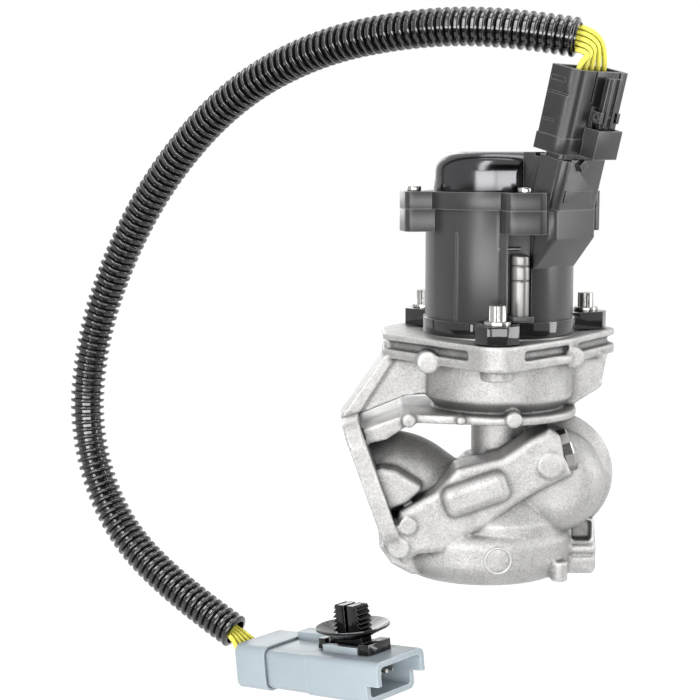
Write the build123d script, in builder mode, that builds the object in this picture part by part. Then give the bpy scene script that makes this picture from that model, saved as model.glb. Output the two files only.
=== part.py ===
"""Exhaust gas recirculation valve with its pigtail harness, in millimetres.

A die-cast housing carries a poppet valve. A solenoid stands on its deck and lifts the stem, a spring closes it,
and a plunger on the armature reports the lift to a sensor under the steel dome. The plug on the leaning tower
carries five wires through corrugated conduit to a grey in-line connector with a fir-tree clip.

Frame: the origin is the middle of the sealing face of the mounting flange, +Z runs up along the valve axis
towards the actuator, +X runs from the flange to the valve axis, and -Y is the front.
"""

from build123d import *
from math import cos, pi, radians, sin, tan
import os

# Driving dimensions of the housing, heights counted from the foot of the bowl
flange_to_axis = 47.5
foot_drop = 34.2
flange_lean = 19.5
flange_length = 48.0
flange_width = 54.0
flange_thickness = 6.0
flange_corner_radius = 9.0
flange_bolt_circle = 53.0
flange_bolt_count = 4
flange_hole_radius = 3.3
port_radius = 11.0
port_straight = 12.0
duct_wall = 4.0
duct_end_height = 16.0
duct_end_reach = 6.0

deck_height = 86.5
deck_thickness = 8.5
deck_radius = 30.0
deck_front_lug = 8.5
deck_side_lug = 10.5
deck_block_reach = 40.9
deck_block_length = 9.8
deck_block_width = 26.0
deck_groove_foot = 81.2
deck_groove_height = 3.0
deck_groove_depth = 2.4
bolt_circle_radius = 36.0
bolt_angles = (-96.0, 24.0, 134.0)
collar_radius = 26.2
collar_foot = 65.0
collar_taper_foot = 60.5
collar_taper_radius = 22.0
shelf_thickness = 3.0
shelf_radius = 27.0
shelf_reach = 31.0
heat_pocket_radius = 20.0
heat_pocket_floor = 64.0

stem_tube_radius = 9.3
chamber_radius = 14.0
chamber_roof = 41.0
chamber_wall = 6.0
bowl_radius = 30.0
bowl_shift = 4.5
bowl_height = 19.0
bowl_edge_radius = 9.0
bowl_top_radius = 5.0
chamber_foot_radius = 25.5
cap_radius = 16.5
cap_wall = 1.6
cap_depth = 4.0

outlet_shift = 19.5
outlet_height = 35.0
outlet_bore_radius = 12.0
outlet_bore_length = 28.0
outlet_throat_radius = 10.0
outlet_throat_front = 9.0
elbow_radius = 17.6
elbow_front = 21.0
elbow_nose_radius = 11.0
outlet_bead_radius = 22.4
outlet_bead_front = 1.5
outlet_bead_width = 6.0
spigot_radius = 16.0
spigot_length = 28.0
spigot_lead = 0.8
spigot_root_end = 25.0
spigot_root_step = 1.6
cross_port_radius = 8.0

arm_front = 25.0
arm_back = 9.0
arm_edge_radius = 2.2
arm_boss_length = 23.0
arm_boss_width = 11.0
arm_boss_rise = 5.0
arm_boss_edge = 3.2
arm_boss_angle = 19.5
pad_rise = 0.8

# Valve train
stem_radius = 2.5
lift = 5.0
seat_foot = 22.0
seat_thickness = 5.0
seat_bore_radius = 9.5
seat_wall = 3.0
seat_chamfer = 1.2
head_radius = 11.2
head_thickness = 3.6
head_inset = 0.6
seat_gap = 0.1
guide_wall = 2.0
guide_foot = 44.0
guide_length = 15.0
running_clearance = 0.05
seal_radius = 6.5
seal_thickness = 2.0
retainer_thickness = 1.0

# Actuator, heights counted from the foot of the bowl
gasket_thickness = 0.5
ring_radius = 26.8
ring_thickness = 5.5
ring_bore_radius = 21.0
ring_ear_width = 14.5
ring_ear_chamfer = 4.0
ring_ear_thickness = 6.0
ring_ear_overhang = 6.8
bolt_radius = 2.5
bolt_hole_radius = 2.8
bolt_bite = 10.0
bolt_flange_radius = 4.5
bolt_flange_thickness = 1.3
bolt_head_height = 5.2
star_radius = 2.85
star_scallop = 0.75
star_points = 6
drum_radius = 26.0
drum_wall = 4.0
drum_height = 38.0
cover_thickness = 6.0
cover_radius = 27.0
cover_ear_width = 14.0
cover_ear_reach = 35.0
cover_ear_corner = 3.0
drum_ear_thickness = 7.8
screw_circle_radius = 30.8
screw_start = -170.0
screw_count = 4
screw_radius = 1.5
screw_head_radius = 2.45
screw_head_height = 1.7
screw_length = 12.0
slot_angle = -80.0
slot_width = 8.2
slot_floor_radius = 23.4
slot_foot = 2.6
column_radius = 3.0
column_centre_radius = 26.8
column_length = 20.5
column_groove = 0.35
mould_line_angle = -129.0
locating_pin_radius = 0.7
locating_pin_rise = 1.9
locating_pin_bite = 3.0
locating_pin_reach = 0.6
locating_pin_circle = 24.3
dome_radius = 23.5
dome_height = 13.4
dome_corner_radius = 6.5
dome_wall = 1.0
dome_seat_depth = 1.5
dome_seal_thickness = 0.8
plunger_radius = 2.0
plunger_length = 18.0

# Solenoid
armature_radius = 9.0
armature_length = 20.0
armature_gap = 2.0
bearing_wall = 0.4
flux_wall = 1.6
pole_plate_thickness = 3.5
pole_bush_radius = 4.5
bobbin_wall = 1.4
bobbin_flange = 1.6
winding_radius = 19.8
coil_clearance = 0.2
spring_radius = 5.5
spring_wire_radius = 0.6
spring_turns = 4.0
spring_retainer_thickness = 1.5
flux_lip = 1.6

# Connector tower, plug and latch, counted along the leaning tower axis
tower_angle = -45.0
tower_lean = 14.5
tower_base_radius = 26.2
tower_width = 25.0
tower_inner = 4.4
tower_outer = 5.6
tower_shoulder = 20.0
tower_sink = 2.0
tower_neck = 1.4
tower_neck_inset = 1.2
tower_plinth = 8.2
tower_plinth_rise = 0.5
tower_rib_radius = 2.2
tower_groove = 1.0
shroud_width = 22.0
shroud_depth = 8.6
shroud_length = 11.0
shroud_wall = 1.4
saddle_inner = 19.4
saddle_outer = 24.4
wedge_reach = 33.0
wedge_corner_radius = 3.0
wedge_skirt = 9.5
wedge_foot = 19.5
wedge_foot_width = 22.5
wedge_valley_angle = -64.0
wedge_valley_place = 37.2
wedge_valley_radius = 4.0
plug_width = 27.6
plug_depth = 11.2
plug_length = 28.0
plug_gap = 0.3
plug_corner_radius = 1.2
plug_round_radius = 4.4
plug_skirt_height = 5.5
plug_skirt_rise = 0.35
plug_top_recess = 1.8
plug_rim = 1.5
plug_slot_width = 1.1
plug_slot_depth = 0.8
plug_slot_length = 10.5
plug_fit = 0.12
terminal_count = 5
terminal_pitch = 3.6
terminal_width = 1.5
terminal_thickness = 0.64
terminal_length = 18.0
terminal_bite = 4.0
latch_offset = 2.5
latch_width = 7.0
latch_length = 24.0
latch_thickness = 1.5
latch_foot = 2.5
latch_standoff = 1.9
latch_hinge_height = 13.5
latch_rib_pitch = 3.6
latch_rib_count = 2
latch_rib_width = 1.1
latch_rib_rise = 0.8
latch_pin_radius = 1.0
latch_ear_wall = 0.75
latch_ear_width = 1.4
latch_side_gap = 0.4
bridge_width = 13.0
bridge_depth = 6.0
bridge_height = 9.6
bridge_wall = 1.2

# Harness
wire_radius = 0.92
wire_pitch = 2.0
wire_rise = 1.0
wire_rise_step = 0.5
wire_sides = 8
seal_collar_radius = 1.6
seal_depth = 4.0
conduit_radius = 6.6
conduit_wall = 1.5
corner_share = 0.45

# Grey connector, in its own frame: length along its axis, width to the back, height up
connector_yaw = -41.5
connector_pitch = 7.0
connector_length = 54.5
connector_width = 25.0
connector_height = 14.6
connector_wall = 1.7
connector_corner_radius = 2.6
connector_mouth_depth = 20.0
collar_length = 15.0
collar_width = 27.2
collar_height = 16.6
collar_floor = 3.0
collar_gap = 0.4
connector_step = 20.0
connector_step_rise = 0.35
mouth_step = 5.5
pin_length = 16.0
pin_radius = 0.75
pin_bite = 6.0
clip_place = 33.5
clip_disc_radius = 13.4
clip_disc_thickness = 1.1
clip_disc_rise = 3.2
clip_stem_length = 11.5
clip_fin_count = 6
clip_fin_width = 13.2
clip_fin_depth = 6.4
clip_fin_pitch = 1.65
clip_fin_rise = 1.5
clip_root = 4.9
clip_gap = 1.6
clip_top_taper = 0.5
clip_foot_length = 27.0
clip_foot_width = 10.0
clip_neck_height = 5.0
clip_rail_height = 2.6

# Conduit route from the plug end to the grey connector, chosen by hand
conduit_route = [
    (70.0, -28.6, 152.9),
    (46.0, -20.0, 157.6),
    (15.0, -7.5, 157.8),
    (-17.5, 13.0, 152.3),
    (-48.5, 34.5, 137.0),
    (-75.5, 51.0, 109.5),
    (-95.0, 61.5, 77.0),
    (-108.0, 67.0, 41.5),
    (-111.5, 66.8, 5.0),
    (-100.0, 58.0, -29.0),
    (-76.0, 43.5, -52.0),
    (-48.5, 28.0, -66.5),
]
connector_rear = (-38.6, 24.0, -75.0)


def level(height):
    """Horizontal plane on the valve axis at a height above the housing's foot."""
    return Plane((flange_to_axis, 0, height - foot_drop))


def around(angle, height):
    """Horizontal plane on the valve axis whose x points out along an angle."""
    outward = (cos(radians(angle)), sin(radians(angle)), 0)
    return Plane((flange_to_axis, 0, height - foot_drop), x_dir=outward, z_dir=(0, 0, 1))


def bolt_spots(distance):
    """Places at a distance from the valve axis, one towards each of the three bolts."""
    spots = []
    for angle in bolt_angles:
        toward = radians(angle)
        spots.append(Location((distance * cos(toward), distance * sin(toward), 0), angle))
    return spots


def radial(angle):
    """Upright plane through the valve axis: x points out along an angle and y up from the foot."""
    outward = (cos(radians(angle)), sin(radians(angle)), 0)
    sideways = (sin(radians(angle)), -cos(radians(angle)), 0)
    return Plane((flange_to_axis, 0, -foot_drop), x_dir=outward, z_dir=sideways)


def unit(vector):
    """A vector's direction."""
    return Vector(vector).normalized()


def turned_radii(points):
    """The radius of each corner of a cord: as large as its two runs allow."""
    spots = [Vector(*point) for point in points]
    radii = []
    for before, corner, after in zip(spots, spots[1:], spots[2:]):
        turn = (corner - before).get_angle(after - corner)
        shorter = min((corner - before).length, (after - corner).length)
        radii.append(corner_share * shorter / tan(radians(turn / 2)))
    return radii


upright = Plane((flange_to_axis, 0, -foot_drop), x_dir=(1, 0, 0), z_dir=(0, -1, 0))
valve_axis = Axis((flange_to_axis, 0, 0), (0, 0, 1))

# The flange leans: its face looks left and down
flange_normal = (-cos(radians(flange_lean)), 0, -sin(radians(flange_lean)))
flange_plane = Plane((0, 0, 0), x_dir=(0, -1, 0), z_dir=flange_normal)

# The tower frame: x across the wide face towards the back, y inwards, z along the leaning axis
tower_out = (cos(radians(tower_angle)), sin(radians(tower_angle)))
cover_foot = deck_height + gasket_thickness + ring_thickness + drum_height
cover_top = cover_foot + cover_thickness
tower_plane = Plane(
    (
        flange_to_axis + tower_base_radius * tower_out[0],
        tower_base_radius * tower_out[1],
        cover_foot - foot_drop,
    ),
    x_dir=(-tower_out[1], tower_out[0], 0),
    z_dir=(
        sin(radians(tower_lean)) * tower_out[0],
        sin(radians(tower_lean)) * tower_out[1],
        cos(radians(tower_lean)),
    ),
)

# The grey connector's frame: x to the back, y up, z along the connector towards its mouth
connector_axis = (
    cos(radians(connector_yaw)) * cos(radians(connector_pitch)),
    sin(radians(connector_yaw)) * cos(radians(connector_pitch)),
    sin(radians(connector_pitch)),
)
connector_plane = Plane(
    connector_rear,
    x_dir=(-sin(radians(connector_yaw)), cos(radians(connector_yaw)), 0),
    z_dir=connector_axis,
)

# Heights that follow from the driving dimensions
deck_foot = deck_height - deck_thickness
ring_foot = deck_height + gasket_thickness
ring_top = ring_foot + ring_thickness
ring_ear_top = ring_foot + ring_ear_thickness
shelf_foot = collar_taper_foot - shelf_thickness
seat_top = seat_foot + seat_thickness
seat_radius = seat_bore_radius + seat_wall
guide_radius = stem_radius + running_clearance + guide_wall
guide_top = guide_foot + guide_length
coil_foot = ring_top + pole_plate_thickness
armature_foot = coil_foot + armature_gap
armature_top = armature_foot + armature_length
bearing_bore = armature_radius + running_clearance
flux_bore = bearing_bore + bearing_wall
flux_radius = flux_bore + flux_wall
flux_top = cover_foot - 0.3
spring_foot = armature_top + spring_retainer_thickness
spring_top = flux_top - flux_lip
drum_bore_radius = drum_radius - drum_wall
column_foot = ring_top + slot_foot
column_top = column_foot + column_length
slot_top = cover_foot - drum_ear_thickness
head_foot = seat_top - seat_chamfer - head_inset + seat_gap
ring_ear_length = bolt_circle_radius + ring_ear_overhang - drum_bore_radius
ring_ear_middle = bolt_circle_radius + ring_ear_overhang - ring_ear_length / 2
cover_ear_length = cover_ear_reach - drum_bore_radius
cover_ear_middle = cover_ear_reach - cover_ear_length / 2
spigot_end = 12 + outlet_bead_width + spigot_length
plug_seal_foot = plug_length - plug_top_recess - seal_depth
locating_pin_height = column_top + locating_pin_rise
bobbin_core_radius = flux_radius + coil_clearance + bobbin_wall
dome_top = cover_top + dome_height
dome_shoulder = dome_top - dome_corner_radius
shroud_core_width = shroud_width - 2 * shroud_wall - 1.0
shroud_core_depth = shroud_depth - 2 * shroud_wall - 1.0
latch_axis_y = -plug_depth / 2 - latch_standoff - latch_thickness / 2
latch_ear_depth = latch_standoff + latch_thickness / 2 + latch_pin_radius + latch_ear_wall + 0.2
latch_ear_height = 2 * (latch_pin_radius + latch_ear_wall)
latch_pin_reach = latch_width / 2 + latch_side_gap + latch_ear_width

# Die-cast housing: deck, collar, shelf, stem tube, leaning flange, duct, bowl, arm and outlet elbow
duct_radius = port_radius + duct_wall
duct_route = [
    (0, 0, 0),
    (port_straight * cos(radians(flange_lean)), 0, port_straight * sin(radians(flange_lean))),
    (flange_to_axis - duct_end_reach, 0, duct_end_height - foot_drop),
]
duct_bend = duct_radius + 1.5
arm_outline = [
    (-39.0, 14.5),
    (-35.5, 27.0),
    (-23.5, 34.0),
    (-16.0, 42.3),
    (-0.5, 46.2),
    (8.5, 52.5),
    (15.5, 56.0),
    (19.3, 53.5),
    (23.5, 40.0),
    (12.5, 34.5),
    (4.5, 29.5),
    (-5.5, 21.3),
    (-15.5, 16.5),
    (-20.5, 12.6),
    (-29.0, 12.0),
    (-34.5, 8.5),
]
arm_pads = [(-32.8, 22.5, 3.0), (16.0, 43.6, 4.3), (-36.0, 14.6, 3.6)]

bowl_plane = Plane((flange_to_axis - bowl_shift, 0, -foot_drop))
with BuildPart() as bowl_blank:
    with BuildSketch(bowl_plane):
        Ellipse(bowl_radius + 1.5, bowl_radius - 2)
    extrude(amount=bowl_height)
    fillet(bowl_blank.faces().sort_by(Axis.Z)[0].edges(), radius=bowl_edge_radius)
    fillet(bowl_blank.faces().sort_by(Axis.Z)[-1].edges(), radius=bowl_top_radius)

with BuildPart() as arm_blank:
    with BuildSketch(upright.offset(arm_back)):
        with BuildLine():
            Polyline(*arm_outline, close=True)
        make_face()
    extrude(amount=arm_front - arm_back)
    fillet(arm_blank.faces().sort_by(Axis.Y)[0].edges(), radius=arm_edge_radius)

with BuildPart() as boss_blank:
    with BuildSketch(upright.offset(arm_front - 2)):
        with Locations(Location((-9.6, 34.0), arm_boss_angle)):
            RectangleRounded(arm_boss_length, arm_boss_width, arm_boss_edge + 0.3)
    extrude(amount=arm_boss_rise + 2)
    fillet(boss_blank.faces().sort_by(Axis.Y)[0].edges(), radius=arm_boss_edge)

with BuildPart() as corner_boss:
    with BuildSketch(upright.offset(8)):
        with BuildLine():
            Polyline((-43.8, 42.2), (-36.5, 41.2), (-26.8, 35.2), (-33.0, 29.6), (-40.6, 26.6), close=True)
        make_face()
    extrude(amount=15)
    fillet(corner_boss.edges().filter_by(Axis.Y), radius=1.6)
    fillet(corner_boss.faces().sort_by(Axis.Y)[0].edges(), radius=1.5)

with BuildPart() as valve_housing:
    with BuildSketch(level(deck_foot)) as deck_plan:
        Circle(deck_radius)
        lug_radii = (deck_front_lug, deck_side_lug, deck_side_lug)
        for spot, lug_radius in zip(bolt_spots(bolt_circle_radius), lug_radii):
            with Locations(spot):
                Circle(lug_radius)
        with Locations((deck_block_length / 2 - deck_block_reach, deck_block_width / 2 - 5)):
            RectangleRounded(deck_block_length, deck_block_width, 2)
        make_hull()
    extrude(amount=deck_thickness)
    # Groove round the deck's rim between its lip and the parting rib
    with BuildSketch(level(deck_groove_foot)):
        add(deck_plan.sketch_local)
        offset(deck_plan.sketch_local, amount=-deck_groove_depth, mode=Mode.SUBTRACT)
        with Locations(bolt_spots(bolt_circle_radius + deck_front_lug)[0]):
            Circle(deck_front_lug + 3, mode=Mode.SUBTRACT)
    extrude(amount=deck_groove_height, mode=Mode.SUBTRACT)
    with BuildSketch(upright):
        with BuildLine():
            Polyline(
                (0, shelf_foot),
                (collar_taper_radius, shelf_foot),
                (collar_taper_radius, collar_taper_foot),
                (collar_radius, collar_foot),
                (collar_radius, deck_foot),
                (0, deck_foot),
                close=True,
            )
        make_face()
    revolve(axis=valve_axis)
    # Shelf under the collar, drawn out to the flange
    with BuildSketch(level(shelf_foot)):
        Circle(shelf_radius)
        with Locations((-shelf_reach, 0)):
            Rectangle(8, 40)
        make_hull()
    extrude(amount=shelf_thickness)
    # Curved roof from the shelf down to the flange
    with BuildSketch(upright.offset(-21)):
        with BuildLine():
            Polyline((-26, shelf_foot + shelf_thickness), (-36, 59.5), (-54.6, 52.5), (-53.2, 48.5), (-40, 51.5))
            Polyline((-40, 51.5), (-31, shelf_foot), (-26, shelf_foot), (-26, shelf_foot + shelf_thickness))
        make_face()
    extrude(amount=41)
    # Strut and web between the deck and the flange, flush at the front
    with BuildSketch(upright.offset(-12)):
        with BuildLine():
            Polyline((-40.6, deck_foot + 1), (-56.0, 57.0), (-52.8, 53.0), (-36.4, deck_foot + 1), close=True)
        make_face()
    extrude(amount=18)
    with BuildSketch(upright.offset(1)):
        with BuildLine():
            web_top = deck_foot + 1
            Polyline((-38, web_top), (-54, 56), (-33, 64.6), (-20, 65.4), (-20, web_top), close=True)
        make_face()
    extrude(amount=4.4)
    # Web under the right lug
    with BuildSketch(upright.offset(-12)):
        with BuildLine():
            Polyline((20, deck_foot + 1), (39.0, deck_foot + 1), (37.6, 71.5), (37.0, 67.0), (28.0, 61.2))
            Polyline((28.0, 61.2), (25.0, shelf_foot), (20, shelf_foot), (20, deck_foot + 1))
        make_face()
    extrude(amount=12)
    # Blind bosses under the bolts
    with BuildSketch(level(deck_foot - 4)):
        with Locations(*bolt_spots(bolt_circle_radius - 2.5)):
            Circle(5.6)
    extrude(amount=4.5)
    # Stem tube
    with BuildSketch(level(chamber_roof - 3)):
        Circle(stem_tube_radius)
    extrude(amount=shelf_foot - chamber_roof + 4)
    # Leaning mounting flange
    with BuildSketch(flange_plane):
        RectangleRounded(flange_width, flange_length, flange_corner_radius)
    extrude(amount=-flange_thickness)
    # Gas duct from the flange to the valve chamber
    with BuildLine():
        FilletPolyline(*duct_route, radius=[duct_bend])
    with BuildSketch(Plane(duct_route[0], x_dir=(0, -1, 0), z_dir=-Vector(*flange_normal))):
        Circle(duct_radius)
    sweep()
    # Valve chamber and bowl
    with BuildSketch(upright):
        with BuildLine():
            Polyline(
                (0, 6),
                (chamber_foot_radius, 6),
                (chamber_foot_radius, 22),
                (chamber_radius + chamber_wall, 33),
                (stem_tube_radius + 3, chamber_roof + 2),
                (0, chamber_roof + 2),
                close=True,
            )
        make_face()
    revolve(axis=valve_axis)
    add(bowl_blank.part)
    # Foot of the flange running into the bowl
    with BuildSketch(upright.offset(-18)):
        with BuildLine():
            Polyline((-42.5, 13), (-38, 6.5), (-31, 2.8), (-20, 2), (-20, 16), (-36, 24), close=True)
        make_face()
    extrude(amount=34)
    # Outlet elbow with its bead and hose spigot
    with BuildSketch(Plane((flange_to_axis + outlet_shift, 0, outlet_height - foot_drop))):
        with BuildLine():
            front_end = Line((0, -elbow_front), (elbow_radius - elbow_nose_radius, -elbow_front))
            nose_side = (elbow_radius, elbow_nose_radius - elbow_front)
            nose = RadiusArc(front_end @ 1, nose_side, -elbow_nose_radius)
            Line(nose @ 1, (elbow_radius, outlet_bead_front - 3.5))
            Polyline(
                (elbow_radius, outlet_bead_front - 3.5),
                (outlet_bead_radius, outlet_bead_front),
                (outlet_bead_radius, outlet_bead_front + outlet_bead_width),
                (elbow_radius, outlet_bead_front + outlet_bead_width + 1.5),
                (elbow_radius, spigot_root_end),
                (spigot_radius, spigot_root_end + spigot_root_step),
                (spigot_radius, spigot_end - spigot_lead),
                (spigot_radius - spigot_lead, spigot_end),
                (0, spigot_end),
                (0, -elbow_front),
            )
        make_face()
    revolve(axis=Axis((flange_to_axis + outlet_shift, 0, outlet_height - foot_drop), (0, 1, 0)))
    # Diagonal arm across the front with its raised boss, pads and end face
    add(arm_blank.part)
    add(boss_blank.part)
    for pad_x, pad_height, pad_radius in arm_pads:
        with BuildSketch(upright.offset(arm_front - 1)):
            with Locations((pad_x, pad_height)):
                Circle(pad_radius)
        extrude(amount=1 + pad_rise)
    # Three-sided boss on the duct's front
    add(corner_boss.part)
    # Lower right lug with its square recess, and the small foot
    with BuildSketch(upright.offset(-9)):
        with BuildLine():
            Polyline((20, 0.9), (33.6, 0.9), (34.8, 3.0), (34.8, 12.0), (34.0, 21.0), (20, 21.0), close=True)
        make_face()
    extrude(amount=17)
    with BuildSketch(upright.offset(8)):
        with Locations((29.6, 16.6)):
            RectangleRounded(6.8, 7.4, 1)
    extrude(amount=-5, mode=Mode.SUBTRACT)
    with BuildSketch(upright.offset(8)):
        with Locations((29.6, 10.1)):
            RectangleRounded(8.6, 2.4, 0.8)
        with Locations((29.4, 4.4)):
            RectangleRounded(9.0, 5.8, 1)
    extrude(amount=1.4)
    with BuildSketch(level(1.2)):
        with Locations((20.5, -17.5)):
            Circle(3)
    extrude(amount=7)
    # Parting strips with round pads on the deck and the shelf
    for strip_height, strip_radius in ((deck_foot + 1.5, deck_radius), (shelf_foot + 1.5, shelf_radius)):
        with BuildSketch(level(strip_height - 1.2)):
            Circle(strip_radius + 0.7)
            Circle(collar_taper_radius - 2, mode=Mode.SUBTRACT)
        extrude(amount=2.4)
    for pad_x, pad_height, pad_radius, pad_front in (
        (-26.1, 79.0, 3.8, 25.5),
        (24.3, 80.0, 3.6, 19.5),
        (-32.4, 58.4, 2.4, 22.5),
        (2.9, 59.8, 2.8, 29.3),
        (-14.9, 59.4, 1.5, 28.6),
    ):
        with BuildSketch(upright.offset(pad_front - 9)):
            with Locations((pad_x, pad_height)):
                Circle(pad_radius)
        extrude(amount=9)
    # Heat pocket, stem bore, seal seat and guide seat
    with BuildSketch(level(heat_pocket_floor)):
        Circle(heat_pocket_radius)
    extrude(amount=deck_height - heat_pocket_floor + 1, mode=Mode.SUBTRACT)
    with BuildSketch(level(chamber_roof - 2)):
        Circle(guide_radius)
    extrude(amount=heat_pocket_floor - chamber_roof + 3, mode=Mode.SUBTRACT)
    with BuildSketch(level(guide_top)):
        Circle(seal_radius)
    extrude(amount=heat_pocket_floor - guide_top + 1, mode=Mode.SUBTRACT)
    # Valve chamber, seat pocket and closing cap's seat
    with BuildSketch(upright):
        with BuildLine():
            Polyline(
                (0, -1),
                (cap_radius, -1),
                (cap_radius, cap_depth),
                (chamber_radius, cap_depth),
                (chamber_radius, seat_foot - 2),
                (seat_radius - 1, seat_foot - 2),
                (seat_radius - 1, seat_foot),
                (seat_radius, seat_foot),
                (seat_radius, seat_top),
                (chamber_radius, seat_top),
                (chamber_radius, chamber_roof - 3),
                (guide_radius, chamber_roof - 1),
                (0, chamber_roof - 1),
                close=True,
            )
        make_face()
    revolve(axis=valve_axis, mode=Mode.SUBTRACT)
    # Gas inlet along the flange's normal, then down to the chamber under the seat
    with BuildSketch(Plane(duct_route[0], x_dir=(0, -1, 0), z_dir=-Vector(*flange_normal))):
        Circle(port_radius)
    extrude(amount=port_straight, mode=Mode.SUBTRACT)
    inlet_turn = Vector(*duct_route[1])
    inlet_end = Vector(flange_to_axis - chamber_radius + 3, 0, 12.5 - foot_drop)
    with BuildSketch(Plane(inlet_turn, z_dir=inlet_end - inlet_turn)):
        Circle(port_radius - 3)
    extrude(amount=(inlet_end - inlet_turn).length, mode=Mode.SUBTRACT)
    # Outlet bore and the cross port above the seat
    outlet_mouth = Plane(
        (flange_to_axis + outlet_shift, spigot_end, outlet_height - foot_drop), x_dir=(1, 0, 0), z_dir=(0, -1, 0)
    )
    with BuildSketch(outlet_mouth):
        Circle(outlet_bore_radius)
    extrude(amount=outlet_bore_length, mode=Mode.SUBTRACT)
    with BuildSketch(outlet_mouth):
        Circle(outlet_throat_radius)
    extrude(amount=spigot_end + outlet_throat_front, mode=Mode.SUBTRACT)
    with BuildSketch(Plane((flange_to_axis, 0, outlet_height + 0.5 - foot_drop), z_dir=(1, 0, 0))):
        Circle(cross_port_radius - 3)
    extrude(amount=outlet_shift, mode=Mode.SUBTRACT)
    # Bolt holes in the deck and in the flange
    with BuildSketch(level(deck_height)):
        with Locations(*bolt_spots(bolt_circle_radius)):
            Circle(bolt_radius + running_clearance)
    extrude(amount=-bolt_bite - 1, mode=Mode.SUBTRACT)
    with BuildSketch(flange_plane):
        with PolarLocations(flange_bolt_circle / 2, flange_bolt_count, start_angle=45):
            Circle(flange_hole_radius)
    extrude(amount=-flange_thickness, mode=Mode.SUBTRACT)
valve_housing.part.label = "valve_housing"

# Pressed steel cap that closes the bowl from below
with BuildPart() as closing_cap:
    with BuildSketch(level(0.6)):
        Circle(cap_radius)
    extrude(amount=cap_depth - 0.6)
    with BuildSketch(level(0.6)):
        Circle(cap_radius - cap_wall)
    extrude(amount=cap_depth - 0.6 - cap_wall, mode=Mode.SUBTRACT)
closing_cap.part.label = "closing_cap"

# Seat ring with its chamfered seat, and the poppet above it
with BuildPart() as valve_seat:
    with BuildSketch(level(seat_foot)):
        Circle(seat_radius)
        Circle(seat_bore_radius, mode=Mode.SUBTRACT)
    extrude(amount=seat_thickness)
    seat_edge = valve_seat.faces().sort_by(Axis.Z)[-1].edges().sort_by(SortBy.RADIUS)[0]
    chamfer(seat_edge, length=seat_chamfer)
valve_seat.part.label = "valve_seat"

with BuildPart() as valve_head:
    with BuildSketch(upright):
        with BuildLine():
            Polyline(
                (stem_radius, head_foot),
                (seat_bore_radius - head_inset, head_foot),
                (head_radius, head_foot + head_radius - seat_bore_radius + head_inset),
                (head_radius, head_foot + head_thickness),
                (stem_radius + 2, head_foot + head_thickness + 1.6),
                (stem_radius, head_foot + head_thickness + 1.6),
                close=True,
            )
        make_face()
    revolve(axis=valve_axis)
valve_head.part.label = "valve_head"

with BuildPart() as valve_stem:
    with BuildSketch(level(head_foot)):
        Circle(stem_radius)
    extrude(amount=armature_top - 4 - head_foot)
    chamfer(valve_stem.edges(), length=0.4)
valve_stem.part.label = "valve_stem"

# Guide bush, scraper seal and its retainer in the stem tube
with BuildPart() as stem_guide:
    with BuildSketch(level(guide_foot)):
        Circle(guide_radius)
        Circle(stem_radius + running_clearance, mode=Mode.SUBTRACT)
    extrude(amount=guide_length)
stem_guide.part.label = "stem_guide"

with BuildPart() as stem_seal:
    with BuildSketch(level(guide_top)):
        Circle(seal_radius)
        Circle(stem_radius + running_clearance, mode=Mode.SUBTRACT)
    extrude(amount=seal_thickness)
stem_seal.part.label = "stem_seal"

with BuildPart() as seal_retainer:
    with BuildSketch(level(guide_top + seal_thickness)):
        Circle(seal_radius)
        Circle(stem_radius + 1, mode=Mode.SUBTRACT)
    extrude(amount=retainer_thickness)
seal_retainer.part.label = "seal_retainer"

# Gasket and black mounting ring with three bolt ears
with BuildPart() as housing_gasket:
    with BuildSketch(level(deck_height)):
        Circle(ring_radius)
        Circle(ring_bore_radius, mode=Mode.SUBTRACT)
    extrude(amount=gasket_thickness)
housing_gasket.part.label = "housing_gasket"

with BuildPart() as lower_ring:
    with BuildSketch(level(ring_foot)):
        Circle(ring_radius)
    extrude(amount=ring_thickness)
    with BuildSketch(level(ring_foot)):
        with Locations(*bolt_spots(ring_ear_middle)):
            ear = Rectangle(ring_ear_length, ring_ear_width)
        outer_corners = ear.vertices().sort_by_distance((0, 0, 0))[-2 * len(bolt_angles) :]
        chamfer(outer_corners, length=ring_ear_chamfer)
        Circle(drum_radius + 0.5, mode=Mode.SUBTRACT)
    extrude(amount=ring_ear_thickness)
    with BuildSketch(level(ring_foot)):
        Circle(ring_bore_radius)
    extrude(amount=ring_ear_thickness, mode=Mode.SUBTRACT)
    with BuildSketch(level(ring_foot)):
        with Locations(*bolt_spots(bolt_circle_radius)):
            Circle(bolt_hole_radius)
    extrude(amount=ring_ear_thickness, mode=Mode.SUBTRACT)
lower_ring.part.label = "lower_ring"

# Flange bolts with external star heads
with BuildPart() as flange_bolts:
    with BuildSketch(level(deck_height - bolt_bite)):
        with Locations(*bolt_spots(bolt_circle_radius)):
            Circle(bolt_radius)
    extrude(amount=ring_ear_top - deck_height + bolt_bite)
    with BuildSketch(level(ring_ear_top)):
        with Locations(*bolt_spots(bolt_circle_radius)):
            Circle(bolt_flange_radius)
    extrude(amount=bolt_flange_thickness)
    with BuildSketch(level(ring_ear_top)):
        with Locations(*bolt_spots(bolt_circle_radius)):
            Circle(star_radius)
            with PolarLocations(star_radius + star_scallop / 2, star_points):
                Circle(star_scallop, mode=Mode.SUBTRACT)
    extrude(amount=bolt_flange_thickness + bolt_head_height)
flange_bolts.part.label = "flange_bolts"

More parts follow.
